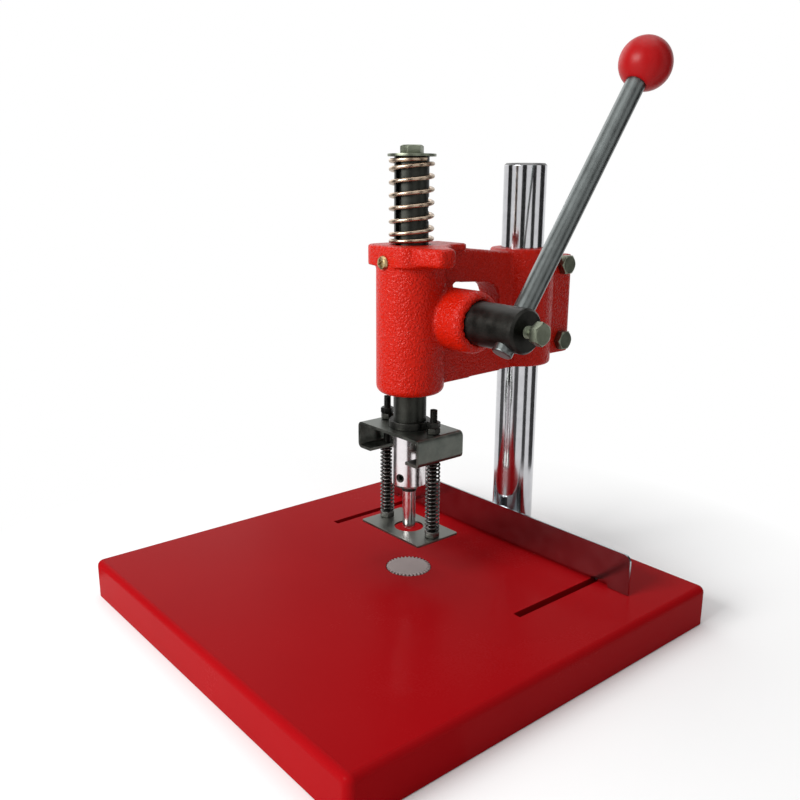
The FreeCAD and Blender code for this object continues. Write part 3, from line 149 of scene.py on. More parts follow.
def blotches_group():
    """Soft blotches and fine grain: a tone from 0 to 1."""
    group, given, out = new_group("Blotches", [("Size", 60.0), ("Grain", 900.0)], ["Tone"])
    place = object_place(group)
    wide = noise(group, place, given.outputs["Size"], 4.0)
    fine = noise(group, place, given.outputs["Grain"], 2.0)
    both = maths(group, "ADD", maths(group, "MULTIPLY", wide, 0.75), maths(group, "MULTIPLY", fine, 0.25))
    group.links.new(remap(group, both, 0.32, 0.68), out.inputs["Tone"])
    return group


def hammered_group():
    """Raised, wormy cells of a hammer finish over the unevenness of the sand mould: a height."""
    group, given, out = new_group("Hammered", [("Cells", 720.0), ("Sand", 140.0)], ["Height"])
    place = object_place(group)
    warp = node(group, "ShaderNodeTexNoise")
    warp.inputs["Scale"].default_value = 380.0
    group.links.new(place, warp.inputs["Vector"])
    mixed = node(group, "ShaderNodeVectorMath", operation="MULTIPLY_ADD")
    mixed.inputs[1].default_value = (0.0026, 0.0026, 0.0026)
    group.links.new(warp.outputs["Color"], mixed.inputs[0])
    group.links.new(place, mixed.inputs[2])
    cells = node(group, "ShaderNodeTexVoronoi", feature="SMOOTH_F1")
    cells.inputs["Smoothness"].default_value = 0.6
    group.links.new(mixed.outputs[0], cells.inputs["Vector"])
    group.links.new(given.outputs["Cells"], cells.inputs["Scale"])
    rise = remap(group, cells.outputs["Distance"], 0.1, 0.7, 1.0, 0.0)
    sand = noise(group, place, given.outputs["Sand"], 2.0)
    height = maths(group, "ADD", maths(group, "MULTIPLY", rise, 0.6), maths(group, "MULTIPLY", sand, 0.4))
    group.links.new(height, out.inputs["Height"])
    return group


def grain_group():
    """Fine lines of grinding or rolling along one axis of the mapped place: a height."""
    group, given, out = new_group("Grain", [("Across", 1500.0), ("Along", 40.0)], ["Height"])
    group.interface.new_socket("Place", in_out="INPUT", socket_type="NodeSocketVector")
    scale = node(group, "ShaderNodeCombineXYZ")
    group.links.new(given.outputs["Across"], scale.inputs[0])
    group.links.new(given.outputs["Along"], scale.inputs[1])
    group.links.new(given.outputs["Across"], scale.inputs[2])
    place = node(group, "ShaderNodeVectorMath", operation="MULTIPLY")
    group.links.new(given.outputs["Place"], place.inputs[0])
    group.links.new(scale.outputs[0], place.inputs[1])
    group.links.new(noise(group, place.outputs[0], 1.0, 3.0, 0.6), out.inputs["Height"])
    return group


BLOTCHES = blotches_group()
HAMMERED = hammered_group()
GRAIN = grain_group()


def finish(name, metallic, **sockets):
    """A material with its shader; constant values are set on the shader's own sockets."""
    made = bpy.data.materials.new(name)
    made.use_nodes = True
    shader = made.node_tree.nodes["Principled BSDF"]
    shader.inputs["Metallic"].default_value = metallic
    for label, value in sockets.items():
        shader.inputs[label.replace("_", " ")].default_value = value
    return made, made.node_tree, shader


def placed(tree, group, **values):
    """A node group in a tree, with the values of its sockets."""
    made = node(tree, "ShaderNodeGroup")
    made.node_tree = group
    for label, value in values.items():
        if isinstance(value, (int, float)):
            made.inputs[label].default_value = value
        else:
            tree.links.new(value, made.inputs[label])
    return made


def tones(tree, shader, factor, dark, light):
    """Base colour that moves between two tones."""
    mix = node(tree, "ShaderNodeMix", data_type="RGBA")
    mix.inputs["A"].default_value = (*dark, 1)
    mix.inputs["B"].default_value = (*light, 1)
    tree.links.new(factor, mix.inputs["Factor"])
    tree.links.new(mix.outputs["Result"], shader.inputs["Base Color"])


def rough(tree, shader, factor, sleek, dull):
    """Roughness that moves between two values."""
    tree.links.new(remap(tree, factor, 0.0, 1.0, sleek, dull), shader.inputs["Roughness"])


def bump(tree, shader, height, strength, depth):
    """Relief of a height on the shader's normal."""
    made = node(tree, "ShaderNodeBump")
    made.inputs["Strength"].default_value = strength
    made.inputs["Distance"].default_value = depth
    tree.links.new(height, made.inputs["Height"])
    tree.links.new(made.outputs["Normal"], shader.inputs["Normal"])


def painted(name, dark, light, sleek, dull, shine, texture, strength, depth):
    """Gloss paint over cast iron, plain or with a hammer finish."""
    made, tree, shader = finish(name, 0.0, Specular_IOR_Level=shine)
    tone = placed(tree, BLOTCHES, Size=12.0, Grain=700.0).outputs["Tone"]
    tones(tree, shader, tone, dark, light)
    rough(tree, shader, tone, sleek, dull)
    bump(tree, shader, texture(tree), strength, depth)
    return made


def metal(name, dark, light, sleek, dull, across, along, turn=(0, 0, 0), strength=0.15):
    """Bare, plated or blackened metal with its fine marks."""
    made, tree, shader = finish(name, 1.0)
    tone = placed(tree, BLOTCHES, Size=120.0, Grain=1400.0).outputs["Tone"]
    tones(tree, shader, tone, dark, light)
    rough(tree, shader, tone, sleek, dull)
    place = object_place(tree, turn=turn)
    height = placed(tree, GRAIN, Across=across, Along=along, Place=place).outputs["Height"]
    bump(tree, shader, height, strength, 0.0002)
    return made


def orange_peel(tree):
    """The height of sprayed paint on a smooth table."""
    return noise(tree, object_place(tree), 420.0, 2.0)


def hammer(tree):
    """The height of hammer paint on a sand casting."""
    return placed(tree, HAMMERED).outputs["Height"]


def plastic(name, dark, light, sleek, dull, shine, scale, strength):
    """Moulded plastic with a fine surface."""
    made, tree, shader = finish(name, 0.0, Specular_IOR_Level=shine)
    tone = placed(tree, BLOTCHES, Size=80.0, Grain=1200.0).outputs["Tone"]
    tones(tree, shader, tone, dark, light)
    rough(tree, shader, tone, sleek, dull)
    bump(tree, shader, noise(tree, object_place(tree), scale, 3.0), strength, 0.0002)
    return made


BASE_PAINT = painted("base_paint", (0.28, 0.003, 0.005), (0.3, 0.004, 0.006), 0.24, 0.28, 0.013,
                     orange_peel, 0.06, 0.0002)
CASTING_PAINT = painted("casting_paint", (0.41, 0.007, 0.001), (0.46, 0.009, 0.002), 0.26, 0.34, 0.15,
                        hammer, 0.8, 0.0009)
KNOB_RED = plastic("knob_red", (0.3, 0.004, 0.005), (0.33, 0.006, 0.007), 0.3, 0.36, 0.14, 300.0, 0.05)
PAD_NYLON = plastic("pad_nylon", (0.255, 0.21, 0.205), (0.3, 0.25, 0.24), 0.5, 0.65, 0.3, 1500.0, 0.3)
COLUMN_CHROME = metal("column_chrome", (0.5, 0.5, 0.52), (0.6, 0.6, 0.62), 0.1, 0.15,
                      900.0, 8.0, (pi / 2, 0, 0), 0.05)
COLUMN_END = metal("column_end", (0.1, 0.1, 0.1), (0.17, 0.17, 0.17), 0.34, 0.48, 1400.0, 300.0)
LEVER_CHROME = metal("lever_chrome", (0.135, 0.148, 0.145), (0.178, 0.196, 0.193), 0.3, 0.38,
                     1200.0, 20.0, (pi / 2, 0, 0), 0.08)
ZINC_STEEL = metal("zinc_steel", (0.145, 0.16, 0.117), (0.265, 0.29, 0.22), 0.3, 0.45, 1400.0, 200.0)
SCREW_BRASS = metal("screw_brass", (0.36, 0.26, 0.12), (0.6, 0.46, 0.24), 0.25, 0.4, 1400.0, 300.0)
RETURN_WIRE = metal("return_spring_wire", (0.34, 0.25, 0.18), (0.56, 0.45, 0.34), 0.22, 0.36, 1500.0, 300.0)
BLACK_OXIDE = metal("black_oxide", (0.018, 0.018, 0.016), (0.045, 0.044, 0.04), 0.34, 0.5, 900.0, 60.0)
BLACK_WIRE = metal("black_wire", (0.04, 0.04, 0.038), (0.11, 0.105, 0.1), 0.25, 0.38, 1500.0, 200.0)
DARK_STEEL = metal("dark_steel", (0.024, 0.025, 0.022), (0.054, 0.055, 0.048), 0.36, 0.48,
                   1200.0, 60.0, (pi / 2, 0, 0))
BARE_STEEL = metal("bare_steel", (0.09, 0.1, 0.088), (0.175, 0.187, 0.166), 0.28, 0.42,
                   1600.0, 30.0, (0, 0, pi / 2), 0.3)
POLISHED_STEEL = metal("polished_steel", (0.78, 0.74, 0.75), (0.9, 0.86, 0.87), 0.14, 0.24,
                       1500.0, 1500.0, (0, 0, 0), 0.08)
ZINC_PLATE = metal("zinc_plate", (0.11, 0.115, 0.1), (0.175, 0.18, 0.163), 0.32, 0.46, 1200.0, 60.0)
NUT_STEEL = metal("nut_steel", (0.06, 0.06, 0.055), (0.17, 0.17, 0.158), 0.28, 0.42, 1400.0, 200.0)
FENCE_STEEL = metal("fence_steel", (0.36, 0.4, 0.42), (0.44, 0.48, 0.5), 0.16, 0.22,
                    1600.0, 12.0, (0, 0, pi / 2), 0.1)


def alone(piece):
    """Selects one piece and makes it active."""
    bpy.ops.object.select_all(action="DESELECT")
    piece.select_set(True)
    bpy.context.view_layer.objects.active = piece
    return piece


def settle(piece):
    """Moves the piece's place, turn and size into its mesh."""
    alone(piece)
    bpy.ops.object.transform_apply(location=True, rotation=True, scale=True)
    return piece


def edit(piece, *steps):
    """Runs mesh operators on the whole piece in edit mode."""
    alone(piece)
    bpy.ops.object.mode_set(mode="EDIT")
    bpy.ops.mesh.select_mode(type="VERT")
    bpy.ops.mesh.select_all(action="SELECT")
    for step in steps:
        step()
    bpy.ops.object.mode_set(mode="OBJECT")
    return piece


def modify(piece, kind, **values):
    """Adds a modifier and applies it."""
    alone(piece)
    added = piece.modifiers.new(kind.lower(), kind)
    for name, value in values.items():
        setattr(added, name, value)
    bpy.ops.object.modifier_apply(modifier=added.name)
    return piece


def smooth(piece, angle=32):
    """Smooth shading with sharp edges above an angle."""
    alone(piece)
    bpy.ops.object.shade_smooth_by_angle(angle=radians(angle))
    return piece


def even(piece):
    """Normals that keep large flat faces flat beside their rounded edges."""
    return modify(smooth(piece), "WEIGHTED_NORMAL", keep_sharp=True, weight=100)


def second(piece, wanted):
    """Gives the faces that pass a test the piece's second material."""
    for face in piece.data.polygons:
        if wanted(face):
            face.material_index = 1
    return piece


def swung(piece, degrees, x=0.0, y=0.0):
    """Turns a piece about a vertical axis."""
    axis = Matrix.Translation((x, y, 0))
    piece.matrix_world = axis @ Matrix.Rotation(radians(degrees), 4, "Z") @ axis.inverted()
    return settle(piece)


def recalculate():
    """Normals outwards."""
    bpy.ops.mesh.normals_make_consistent(inside=False)


def merge():
    """One vertex where several share a place."""
    bpy.ops.mesh.remove_doubles(threshold=SAME_PLACE)


def linked(name, mesh):
    """A piece of a mesh, in the scene."""
    piece = bpy.data.objects.new(name, mesh)
    bpy.context.scene.collection.objects.link(piece)
    return piece


def drawn(name, points, edges=(), faces=()):
    """A piece of points, edges and faces, in the scene."""
    mesh = bpy.data.meshes.new(name)
    mesh.from_pydata(points, edges, faces)
    return linked(name, mesh)


def drawn_line(name, profile, low=0.0):
    """An open line of radius and height pairs, to be turned round the Z axis."""
    return drawn(name, [(r, 0, low + z) for r, z in profile], [(i, i + 1) for i in range(len(profile) - 1)])


def rounded(piece, width, segments=2, angle=SHARP):
    """Breaks the edges that turn by more than an angle."""
    return modify(piece, "BEVEL", width=width, segments=segments, limit_method="ANGLE", angle_limit=angle)


def skin(name, edge=0.0):
    """A merged copy of a CAD node, its flat faces joined and its sharp edges broken."""
    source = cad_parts[name]
    piece = linked(name + "_skin", source.data.copy())
    piece.data.materials.clear()

    def join_flats():
        bpy.ops.mesh.dissolve_limited(angle_limit=radians(0.6))

    edit(piece, merge, join_flats)
    if edge:
        rounded(piece, edge)
    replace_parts(piece, name)
    return even(piece)


def shown(piece, body, slot, *materials):
    """Gives a piece its body and its materials; the slot argument is not used."""
    piece.data.materials.clear()
    for material in materials:
        piece.data.materials.append(material)
    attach(piece, body)
    return piece


def turned(name, profile, steps=64):
    """A turned piece: profile is radius and height pairs in metres round the Z axis."""

    def spin():
        bpy.ops.mesh.spin(steps=steps, angle=2 * pi, center=(0, 0, 0), axis=(0, 0, 1))
        bpy.ops.mesh.select_all(action="SELECT")

    return edit(drawn_line(name, profile), spin, merge, recalculate)


def combine(piece, other, operation):
    """Boolean of two pieces; the second one goes."""
    modify(piece, "BOOLEAN", operation=operation, solver="EXACT", object=other)
    bpy.data.objects.remove(other)
    return piece


def hexagon_head(name, flats, tall, bore=0.0, both=False, turn=0.0):
    """A hexagon with the round chamfer of a turned bar, its seat at the origin."""
    bpy.ops.object.select_all(action="DESELECT")
    bpy.ops.mesh.primitive_cylinder_add(vertices=6, radius=flats / sqrt(3), depth=tall,
                                        location=(0, 0, tall / 2), rotation=(0, 0, turn))
    piece = bpy.context.active_object
    piece.name = name
    settle(piece)
    inner = bore / 2
    top, wide, drop = flats / 2 * 0.93, flats / sqrt(3) + 0.2 * MM, flats * 0.075
    low = [(top, 0), (wide, drop)] if both else [(wide, -0.1 * MM)]
    lathe = [(inner, low[0][1])] + low + [(wide, tall - drop), (top, tall), (inner, tall)]
    if inner:
        lathe.append(lathe[0])
    combine(piece, turned(name + "_lathe", lathe, 48), "INTERSECT")
    return smooth(rounded(piece, 0.12 * MM), 25)


def threaded(name, diameter, pitch, low, high, steps=20):
    """A screw thread of one continuous helix between two heights, closed at both ends."""
    crest, root = diameter / 2, diameter / 2 - 0.54 * pitch
    profile = [(root, 0), (root + 0.12 * pitch, 0.12 * pitch), (crest, 0.44 * pitch),
               (crest, 0.56 * pitch), (root + 0.12 * pitch, 0.88 * pitch), (root, pitch)]
    piece = drawn_line(name, profile, low - pitch)
    turns = int((high - low) / pitch) + 2
    modify(piece, "SCREW", angle=2 * pi, screw_offset=pitch, iterations=turns, steps=steps,
           render_steps=steps, use_merge_vertices=True, merge_threshold=SAME_PLACE)

    def cut():
        for height, above in ((low, False), (high, True)):
            bpy.ops.mesh.select_all(action="SELECT")
            bpy.ops.mesh.bisect(plane_co=(0, 0, height), plane_no=(0, 0, 1), use_fill=True,
                                clear_inner=not above, clear_outer=above)
        bpy.ops.mesh.select_all(action="SELECT")

    edit(piece, merge, cut, recalculate)
    return smooth(piece, 25)


def joined_pieces(name, pieces):
    """Several solids kept as one piece."""
    bpy.ops.object.select_all(action="DESELECT")
    for piece in pieces:
        piece.select_set(True)
    bpy.context.view_layer.objects.active = pieces[0]
    if len(pieces) > 1:
        bpy.ops.object.join()
    pieces[0].name = name
    return pieces[0]


def copied(piece, place, turn=None):
    """A copy with its own mesh, turned and then moved, with its place in its mesh."""
    other = linked(piece.name + "_copy", piece.data.copy())
    other.matrix_world = Matrix.Translation(place) @ (turn or Matrix.Identity(4))
    return settle(other)


def removed(*pieces):
    """Takes away pieces that were only copied."""
    for piece in pieces:
        bpy.data.objects.remove(piece)


def wire_spring(name, x, y, low, high, wire, diameter, open_turns, end_pitch, steps=32, sides=12, side=1):
    """A compression spring of round wire with a close turn at both ends, from its side on X."""
    radius = (diameter - wire) / 2
    turns = open_turns + 2
    ring = [(side * (radius + wire / 2 * cos(2 * pi * i / sides)), 0, wire / 2 * sin(2 * pi * i / sides))
            for i in range(sides)]
    piece = drawn(name, ring, [(i, (i + 1) % sides) for i in range(sides)])
    count = int(steps * turns)
    modify(piece, "SCREW", angle=2 * pi * turns, screw_offset=0, iterations=1,
           steps=count, render_steps=count, use_merge_vertices=False)
    tall = high - low - wire
    open_pitch = (tall - 2 * end_pitch) / open_turns
    for index, vertex in enumerate(piece.data.vertices):
        along = (index // sides) / steps
        climb = min(along, 1) * end_pitch
        climb += min(max(along - 1, 0), open_turns) * open_pitch
        climb += max(along - 1 - open_turns, 0) * end_pitch
        vertex.co.z += low + wire / 2 + climb
        vertex.co.x += x
        vertex.co.y += y

    def close_ends():
        bpy.ops.mesh.fill_holes(sides=sides)

    edit(piece, close_ends, recalculate)
    return smooth(piece, 50)


def prism(name, plan, low, high):
    """A closed block with an outline in plan between two heights."""

    def raise_top():
        bpy.ops.mesh.extrude_region_move(TRANSFORM_OT_translate={"value": (0, 0, high - low)})
        bpy.ops.mesh.select_all(action="SELECT")

    piece = drawn(name, [(x, y, low) for x, y in plan], faces=[tuple(range(len(plan)))])
    return edit(piece, raise_top, recalculate)


def round_bar(name, radius, low, high, y):
    """A round cutter on an upright axis."""
    piece = turned(name, [(0, low), (radius, low), (radius, high), (0, high)])
    piece.location = (0, y, 0)
    return settle(piece)


TO_RIGHT = Matrix.Rotation(pi / 2, 4, "Y")
TO_LEFT = Matrix.Rotation(-pi / 2, 4, "Y")
TO_FRONT = Matrix.Rotation(pi / 2, 4, "X")
UPSIDE_DOWN = Matrix.Rotation(pi, 4, "X")


def base_and_column():
    """The pan with its column, which a bolt holds from below."""
    shown(skin("base_pan", 0.5 * MM), "base", "base_paint", BASE_PAINT)
    column = shown(skin("column", 0.25 * MM), "base", "column_chrome", COLUMN_CHROME, COLUMN_END)
    second(column, lambda face: face.normal.z > 0.4)
    shown(skin("column_washer", 0.2 * MM), "base", "zinc_steel", ZINC_STEEL)
    head = hexagon_head("column_bolt_head", 18 * MM, 7.5 * MM)
    shank = turned("column_bolt_shank", [(0, 0.5 * MM), (6 * MM, 0.5 * MM), (6 * MM, -21 * MM),
                                         (5 * MM, -22 * MM), (0, -22 * MM)])
    smooth(shank)
    piece = joined_pieces("column_bolt_skin", [
        copied(head, (0, COLUMN_Y, 9 * MM), UPSIDE_DOWN),
        copied(shank, (0, COLUMN_Y, 9 * MM), UPSIDE_DOWN),
    ])
    removed(head, shank)
    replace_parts(piece, "column_bolt")
    shown(piece, "base", "zinc_steel", ZINC_STEEL)
    toothed_pad()


def toothed_pad():
    """The nylon pad, its rim toothed so that a finger can turn it."""
    root, tip = 13.5 * MM, 15.4 * MM
    plan = []
    for number in range(PAD_TEETH):
        for share, radius in ((-0.34, root), (-0.16, tip), (0.16, tip), (0.34, root)):
            angle = 2 * pi * (number + share) / PAD_TEETH
            plan.append((radius * cos(angle), RAM_Y + radius * sin(angle)))
    pad = rounded(prism("cutting_pad_skin", plan, PAD_LOW, PAD_TOP), 0.25 * MM, angle=radians(60))
    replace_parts(even(pad), "cutting_pad")
    shown(pad, "pad", "pad_nylon", PAD_NYLON)


def fence_pieces():
    """The bent sheet with its bolts and thumb nuts."""
    shown(skin("fence", 0.2 * MM), "fence", "fence_steel", FENCE_STEEL)
    shown(skin("fence_bolts", 0.15 * MM), "fence", "zinc_steel", ZINC_STEEL)
    shown(skin("fence_nuts", 0.5 * MM), "fence", "black_oxide", BLACK_OXIDE)


def collar_block():
    """The barrel's top collar: its front face runs on to the right, past the ram."""
    plan = [(-4, -15.8), (6, -15.8), (41, -5), (42.5, 6), (20, 20), (0, 20)]
    low, high = SEAT_Z - 12 * MM, SEAT_Z - 0.3 * MM
    block = prism("collar_block", [(x * MM, y * MM) for x, y in plan], low, high)
    rounded(block, 3 * MM, 4)
    bore = round_bar("collar_bore", 11.2 * MM, low - MM, SEAT_Z + MM, RAM_Y)
    return combine(block, bore, "DIFFERENCE")


def boss_rim():
    """What the rounding of the pinion boss takes off its right rim."""
    inner, low, high = BOSS_RADIUS - BOSS_RIM, BOSS_RIGHT - BOSS_RIM, BOSS_RIGHT + MM
    outer, steps = BOSS_RADIUS + MM, 8
    start = (outer, low)
    arc = []
    for i in range(steps + 1):
        angle = pi / 2 * i / steps
        arc.append((inner + BOSS_RIM * cos(angle), low + BOSS_RIM * sin(angle)))
    ring = turned("boss_rim", [start] + arc + [(inner, high), (outer, high), start])
    ring.matrix_world = Matrix.Translation((0, PINION_Y, PINION_Z)) @ TO_RIGHT
    return settle(ring)


def ear_cuts():
    """What the clamp's ears are shorter than the hub, below and above."""
    side, back = 20 * MM, COLUMN_Y + 48 * MM
    plan = [(-side, COLUMN_Y), (side, COLUMN_Y), (side, back), (-side, back)]
    cuts = []
    for low, high in ((HEAD_Z - 2 * MM, EARS_LOW), (EARS_TOP, SEAT_Z + 9 * MM)):
        hub = round_bar("ear_cut_hub", HUB_RADIUS, low - MM, high + MM, COLUMN_Y)
        cuts.append(combine(prism("ear_cut", plan, low, high), hub, "DIFFERENCE"))
    return cuts


def casting():
    """The casting with rounded inner and outer corners, as it leaves the sand and takes paint."""
    piece = skin("head_casting")
    combine(piece, collar_block(), "UNION")
    combine(piece, boss_rim(), "DIFFERENCE")
    for cut in ear_cuts():
        combine(piece, cut, "DIFFERENCE")
    modify(piece, "REMESH", mode="VOXEL", voxel_size=1.0 * MM, use_smooth_shade=True)
    modify(piece, "SMOOTH", factor=0.5, iterations=5)
    smooth(piece, 60)
    shown(piece, "head", "casting_paint", CASTING_PAINT)


def clamp():
    """The two bolts through the ears and their nuts."""
    head = hexagon_head("clamp_bolt_head", 13 * MM, 5.5 * MM)
    nut = hexagon_head("clamp_nut", 13 * MM, 6.5 * MM, 7.6 * MM, both=True)
    end = threaded("clamp_thread", 8 * MM, 1.25 * MM, 0, 33 * MM)
    heads, nuts = [], []
    for z in CLAMP_LEVELS:
        heads.append(copied(head, (12 * MM, CLAMP_Y, z), TO_RIGHT))
        heads.append(copied(end, (-20.5 * MM, CLAMP_Y, z), TO_RIGHT))
        nuts.append(copied(nut, (-12 * MM, CLAMP_Y, z), TO_LEFT))
    removed(head, nut, end)
    bolts = joined_pieces("clamp_bolts_skin", heads)
    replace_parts(bolts, "clamp_bolts")
    shown(bolts, "head", "zinc_steel", ZINC_STEEL)
    nuts = joined_pieces("clamp_nuts_skin", nuts)
    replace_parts(nuts, "clamp_nuts")
    shown(nuts, "head", "zinc_steel", ZINC_STEEL)


def key_screw():
    """Pan head with a cross recess."""
    r, tall = 4.5 * MM, 2.6 * MM
    dome = [(0, -13.5 * MM), (2.2 * MM, -13.5 * MM), (2.2 * MM, -11 * MM), (2.5 * MM, -11 * MM),
            (2.5 * MM, 0.1 * MM), (r - 0.2 * MM, 0), (r, 0.4 * MM), (r * 0.97, tall * 0.5),
            (r * 0.82, tall * 0.85), (r * 0.5, tall), (0, tall)]
    piece = turned("key_screw_skin", dome, 40)
    for turn in (0, pi / 2):
        bpy.ops.object.select_all(action="DESELECT")
        bpy.ops.mesh.primitive_cube_add(size=1, location=(0, 0, tall), rotation=(0, 0, turn))
        blade = bpy.context.active_object
        blade.scale = (5.2 * MM, 1 * MM, 3 * MM)
        settle(blade)
        combine(piece, blade, "DIFFERENCE")
    piece.matrix_world = Matrix.Translation((0, RAM_Y - 22.5 * MM, HEAD_Z + 85.8 * MM)) \
        @ TO_FRONT @ Matrix.Rotation(radians(25), 4, "Z")
    settle(piece)
    smooth(piece)
    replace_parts(piece, "key_screw")
    shown(piece, "head", "screw_brass", SCREW_BRASS)


def return_spring():
    """The spring between the casting and the ram's top washer."""
    piece = wire_spring("return_spring_skin", 0, RAM_Y, SEAT_Z + SEAT_GAP, RAM_TOP_Z - SEAT_GAP,
                        2.6 * MM, 29 * MM, 5.5, 3.3 * MM, 40, 14, -1)
    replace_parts(piece, "return_spring")
    shown(piece, "head", "return_spring_wire", RETURN_WIRE)
    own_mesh(piece)


def lever_pieces():
    """The pinion shaft with its lever, clamp bolt and ball."""
    shown(skin("pinion_shaft", 0.3 * MM), "lever", "black_oxide", BLACK_OXIDE)
    shown(skin("retaining_ring", 0.15 * MM), "lever", "black_oxide", BLACK_OXIDE)
    shown(skin("lever_rod", 0.3 * MM), "lever", "lever_chrome", LEVER_CHROME)
    lean = Matrix.Rotation(-LEVER_LEAN, 4, "X")
    radius, flat, bore = 17.19 * MM, 15.5 * MM, 6.6 * MM
    centre = 196.3 * MM
    lowest, count = asin(-flat / radius), 40
    arc = []
    for i in range(count):
        angle = lowest + (pi / 2 - lowest) * i / count
        arc.append((radius * cos(angle), centre + radius * sin(angle)))
    arc.append((0, centre + radius))
    profile = [(0, centre - 6 * MM), (bore, centre - 6 * MM), (bore, centre - flat)] + arc
    ball = turned("ball_knob_skin", profile, 96)
    ball.matrix_world = Matrix.Translation((LEVER_X, PINION_Y, PINION_Z)) @ lean
    settle(ball)
    smooth(ball, 30)
    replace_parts(ball, "ball_knob")
    shown(ball, "lever", "knob_red", KNOB_RED)
    head = hexagon_head("lever_bolt_head", 13 * MM, 5.5 * MM, turn=pi / 2)
    thread = threaded("lever_bolt_thread", 8 * MM, 1.25 * MM, -11.4 * MM, 0.3 * MM)
    place = (SHAFT_RIGHT + 7 * MM, PINION_Y, PINION_Z)
    parts = [copied(head, place, TO_RIGHT), copied(thread, place, TO_RIGHT)]
    bolt = joined_pieces("lever_clamp_bolt_skin", parts)
    removed(head, thread)
    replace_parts(bolt, "lever_clamp_bolt")
    shown(bolt, "lever", "zinc_steel", ZINC_STEEL)


def ram_pieces():
    """The ram and what it carries, from the top bolt down to the bit."""
    shown(skin("ram", 0.25 * MM), "ram", "dark_steel", DARK_STEEL)
    shown(skin("top_washer", 0.2 * MM), "ram", "zinc_steel", ZINC_STEEL)
    head = hexagon_head("top_bolt_head", 13 * MM, 5.3 * MM, turn=pi / 2)
    bar = [(0, 0.3 * MM), (4 * MM, 0.3 * MM), (4 * MM, -20 * MM), (0, -20 * MM)]
    shank = turned("top_bolt_shank", bar, 40)
    smooth(shank)
    place = (0, RAM_Y, RAM_TOP_Z + 1.6 * MM)
    bolt = joined_pieces("top_bolt_skin", [copied(head, place), copied(shank, place)])
    removed(head, shank)
    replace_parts(bolt, "top_bolt")
    shown(bolt, "ram", "zinc_steel", ZINC_STEEL)
    shown(skin("locking_collar", 0.5 * MM), "ram", "black_oxide", BLACK_OXIDE)
    shown(skin("bracket", 0.25 * MM), "ram", "bare_steel", BARE_STEEL)
    shown(swung(skin("chuck", 0.3 * MM), CHUCK_TURN, 0, RAM_Y), "ram", "polished_steel", POLISHED_STEEL)
    screw = swung(skin("chuck_set_screw", 0.15 * MM), CHUCK_TURN, 0, RAM_Y)
    shown(screw, "ram", "black_oxide", BLACK_OXIDE)
    bit = shown(skin("hollow_bit", 0.15 * MM), "ram", "polished_steel", POLISHED_STEEL, BLACK_OXIDE)
    second(bit, lambda face: (face.center - Vector((0, RAM_Y, face.center.z))).length > BIT_BARREL)


def stripper_pieces():
    """The plate that holds the paper down, with its rods, nuts and springs."""
    shown(skin("stripper_plate", 0.2 * MM), "stripper", "zinc_plate", ZINC_PLATE)
    nut = hexagon_head("rod_nut", 8 * MM, 4 * MM, 4.7 * MM, both=True)
    foot = hexagon_head("foot_nut", 9 * MM, 4.5 * MM, 4.7 * MM, both=True)
    rod = threaded("guide_rod", 5 * MM, 0.8 * MM, 0, 89.5 * MM)
    rods, nuts, feet = [], [], []
    for side in (-1, 1):
        x = ROD_X * side
        rods.append(copied(rod, (x, RAM_Y, 56 * MM)))
        feet.append(copied(foot, (x, RAM_Y, PLATE_Z)))
        for number in range(2):
            turn = Matrix.Rotation(radians(30 * number), 4, "Z")
            nuts.append(copied(nut, (x, RAM_Y, BRACKET_Z + (0.3 + 4 * number) * MM), turn))
    removed(nut, foot, rod)
    for label, node_name, made, slot, material in (
        ("guide_rods_skin", "guide_rods", rods, "black_oxide", BLACK_OXIDE),
        ("rod_top_nuts_skin", "rod_top_nuts", nuts, "black_oxide", BLACK_OXIDE),
        ("rod_foot_nuts_skin", "rod_foot_nuts", feet, "nut_steel", NUT_STEEL),
    ):
        piece = joined_pieces(label, made)
        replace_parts(piece, node_name)
        shown(piece, "stripper", slot, material)
    for name, side in (("left", -1), ("right", 1)):
        piece = wire_spring(name + "_stripper_spring_skin", ROD_X * side, RAM_Y, FOOT_Z + SEAT_GAP,
                            LIP_Z - SEAT_GAP, 1.3 * MM, 10 * MM, 16, 1.9 * MM, 28, 10)
        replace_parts(piece, name + "_stripper_spring")
        shown(piece, "stripper", "black_wire", BLACK_WIRE)
        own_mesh(piece)


base_and_column()
fence_pieces()
casting()
clamp()
key_screw()
return_spring()
lever_pieces()
ram_pieces()
stripper_pieces()


def seen_rays(tree):
    """One for rays from the camera and for what metal and glass show of the background."""
    path = node(tree, "ShaderNodeLightPath")
    seen = maths(tree, "MAXIMUM", path.outputs["Is Camera Ray"], path.outputs["Is Transmission Ray"])
    return maths(tree, "MAXIMUM", seen, path.outputs["Is Glossy Ray"])


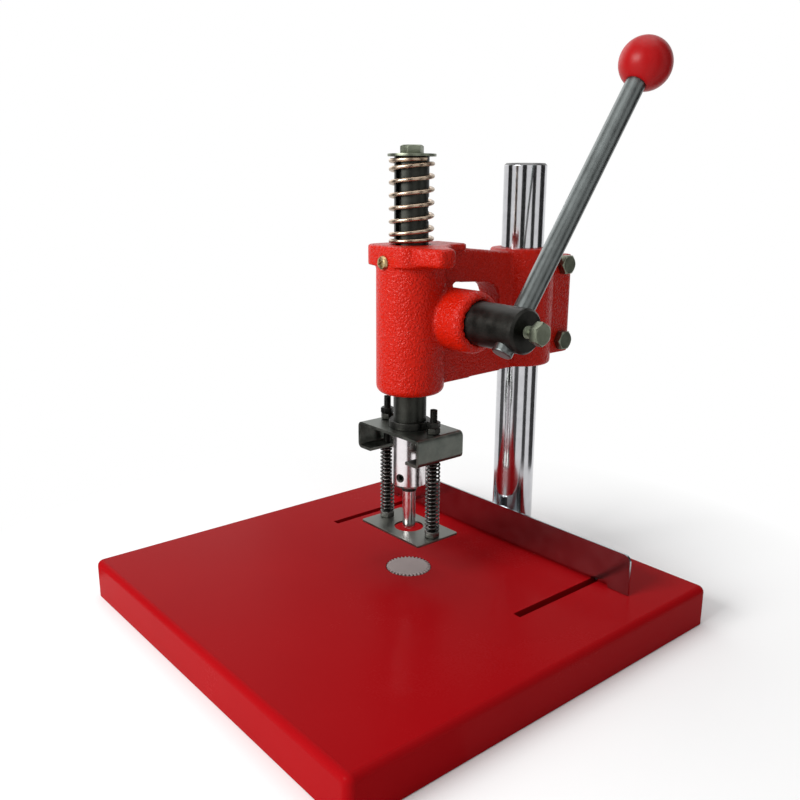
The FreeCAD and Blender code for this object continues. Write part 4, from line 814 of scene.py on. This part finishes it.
def floor_piece():
    """A pale floor that keeps the shadow near the machine and turns plain white away from it."""
    bpy.ops.object.select_all(action="DESELECT")
    bpy.ops.mesh.primitive_plane_add(size=8, location=(0, 0, -0.0005))
    floor = bpy.context.active_object
    floor.name = "studio_floor"
    made = bpy.data.materials.new("studio_floor")
    made.use_nodes = True
    tree = made.node_tree
    shader = tree.nodes["Principled BSDF"]
    shader.inputs["Base Color"].default_value = (0.93, 0.93, 0.93, 1)
    shader.inputs["Roughness"].default_value = 0.9
    shader.inputs["Specular IOR Level"].default_value = 0.0
    white = node(tree, "ShaderNodeEmission")
    distance = node(tree, "ShaderNodeVectorMath", operation="LENGTH")
    tree.links.new(node(tree, "ShaderNodeTexCoord").outputs["Object"], distance.inputs[0])
    away = remap(tree, distance.outputs["Value"], 0.21, 0.36)
    mix = node(tree, "ShaderNodeMixShader")
    tree.links.new(maths(tree, "MULTIPLY", away, seen_rays(tree)), mix.inputs[0])
    tree.links.new(shader.outputs[0], mix.inputs[1])
    tree.links.new(white.outputs[0], mix.inputs[2])
    tree.links.new(mix.outputs[0], tree.nodes["Material Output"].inputs["Surface"])
    floor.data.materials.append(made)


def dark_cards():
    """Dark cards round the machine, which only show in the bright metal."""
    made = bpy.data.materials.new("dark_card")
    made.use_nodes = True
    shader = made.node_tree.nodes["Principled BSDF"]
    shader.inputs["Base Color"].default_value = (0.02, 0.02, 0.02, 1)
    shader.inputs["Roughness"].default_value = 1.0
    near, away, low, high = 0.25, 1.3, 0.001, 2.4
    for index, (start, end) in enumerate(((-150, -122), (-64, -41), (-7, 13), (40, 78))):
        corners = []
        for turn in (radians(start), radians(end)):
            for radius, z in ((near, low), (away, low), (away, high)):
                corners.append((radius * cos(turn), COLUMN_Y + radius * sin(turn), z))
        card = drawn("dark_card_%d" % index, corners, faces=[(0, 1, 4, 3), (1, 2, 5, 4)])
        card.data.materials.append(made)
        card.visible_camera = False
        card.visible_diffuse = False
        card.visible_shadow = False


def backdrop(scene):
    """A white world, full in what is seen and weaker as a light."""
    world = bpy.data.worlds.new("studio")
    scene.world = world
    world.use_nodes = True
    tree = world.node_tree
    background = tree.nodes["Background"]
    background.inputs["Color"].default_value = (1, 1, 1, 1)
    tree.links.new(remap(tree, seen_rays(tree), 0.0, 1.0, 0.32, 1.0), background.inputs["Strength"])


def lamps(scene):
    """Area lamps that look at the middle of the machine."""
    for name, place, energy, width, height in (
        ("key", (-0.15, -1.7, 0.95), 43, 1.0, 0.8),
        ("fill", (-1.5, 0.2, 1.0), 5, 1.2, 1.2),
        ("top", (0.1, 0.2, 1.9), 9, 1.4, 1.4),
    ):
        light = bpy.data.lights.new(name, "AREA")
        light.shape = "RECTANGLE"
        light.energy, light.size, light.size_y = energy, width, height
        lamp = bpy.data.objects.new(name, light)
        scene.collection.objects.link(lamp)
        lamp.location = place
        aim = Vector((0, 0, 0.12)) - Vector(place)
        lamp.rotation_euler = aim.to_track_quat("-Z", "Y").to_euler()


def photo_camera(scene):
    """The camera of the photograph."""
    lens = bpy.data.cameras.new("camera")
    lens.sensor_width = 36
    lens.lens = 36 * CAMERA_FOCUS
    lens.clip_start = 0.01
    camera = bpy.data.objects.new("camera", lens)
    scene.collection.objects.link(camera)
    swing = Matrix.Rotation(radians(CAMERA_SWING), 4, "Z")
    dip = Matrix.Rotation(pi / 2 - radians(CAMERA_DIP), 4, "X")
    roll = Matrix.Rotation(radians(CAMERA_ROLL), 4, "Z")
    camera.matrix_world = Matrix.Translation(CAMERA_PLACE) @ swing @ dip @ roll
    scene.camera = camera


floor_piece()
dark_cards()
bpy.context.scene.view_settings.view_transform = "Standard"
backdrop(bpy.context.scene)
lamps(bpy.context.scene)
photo_camera(bpy.context.scene)
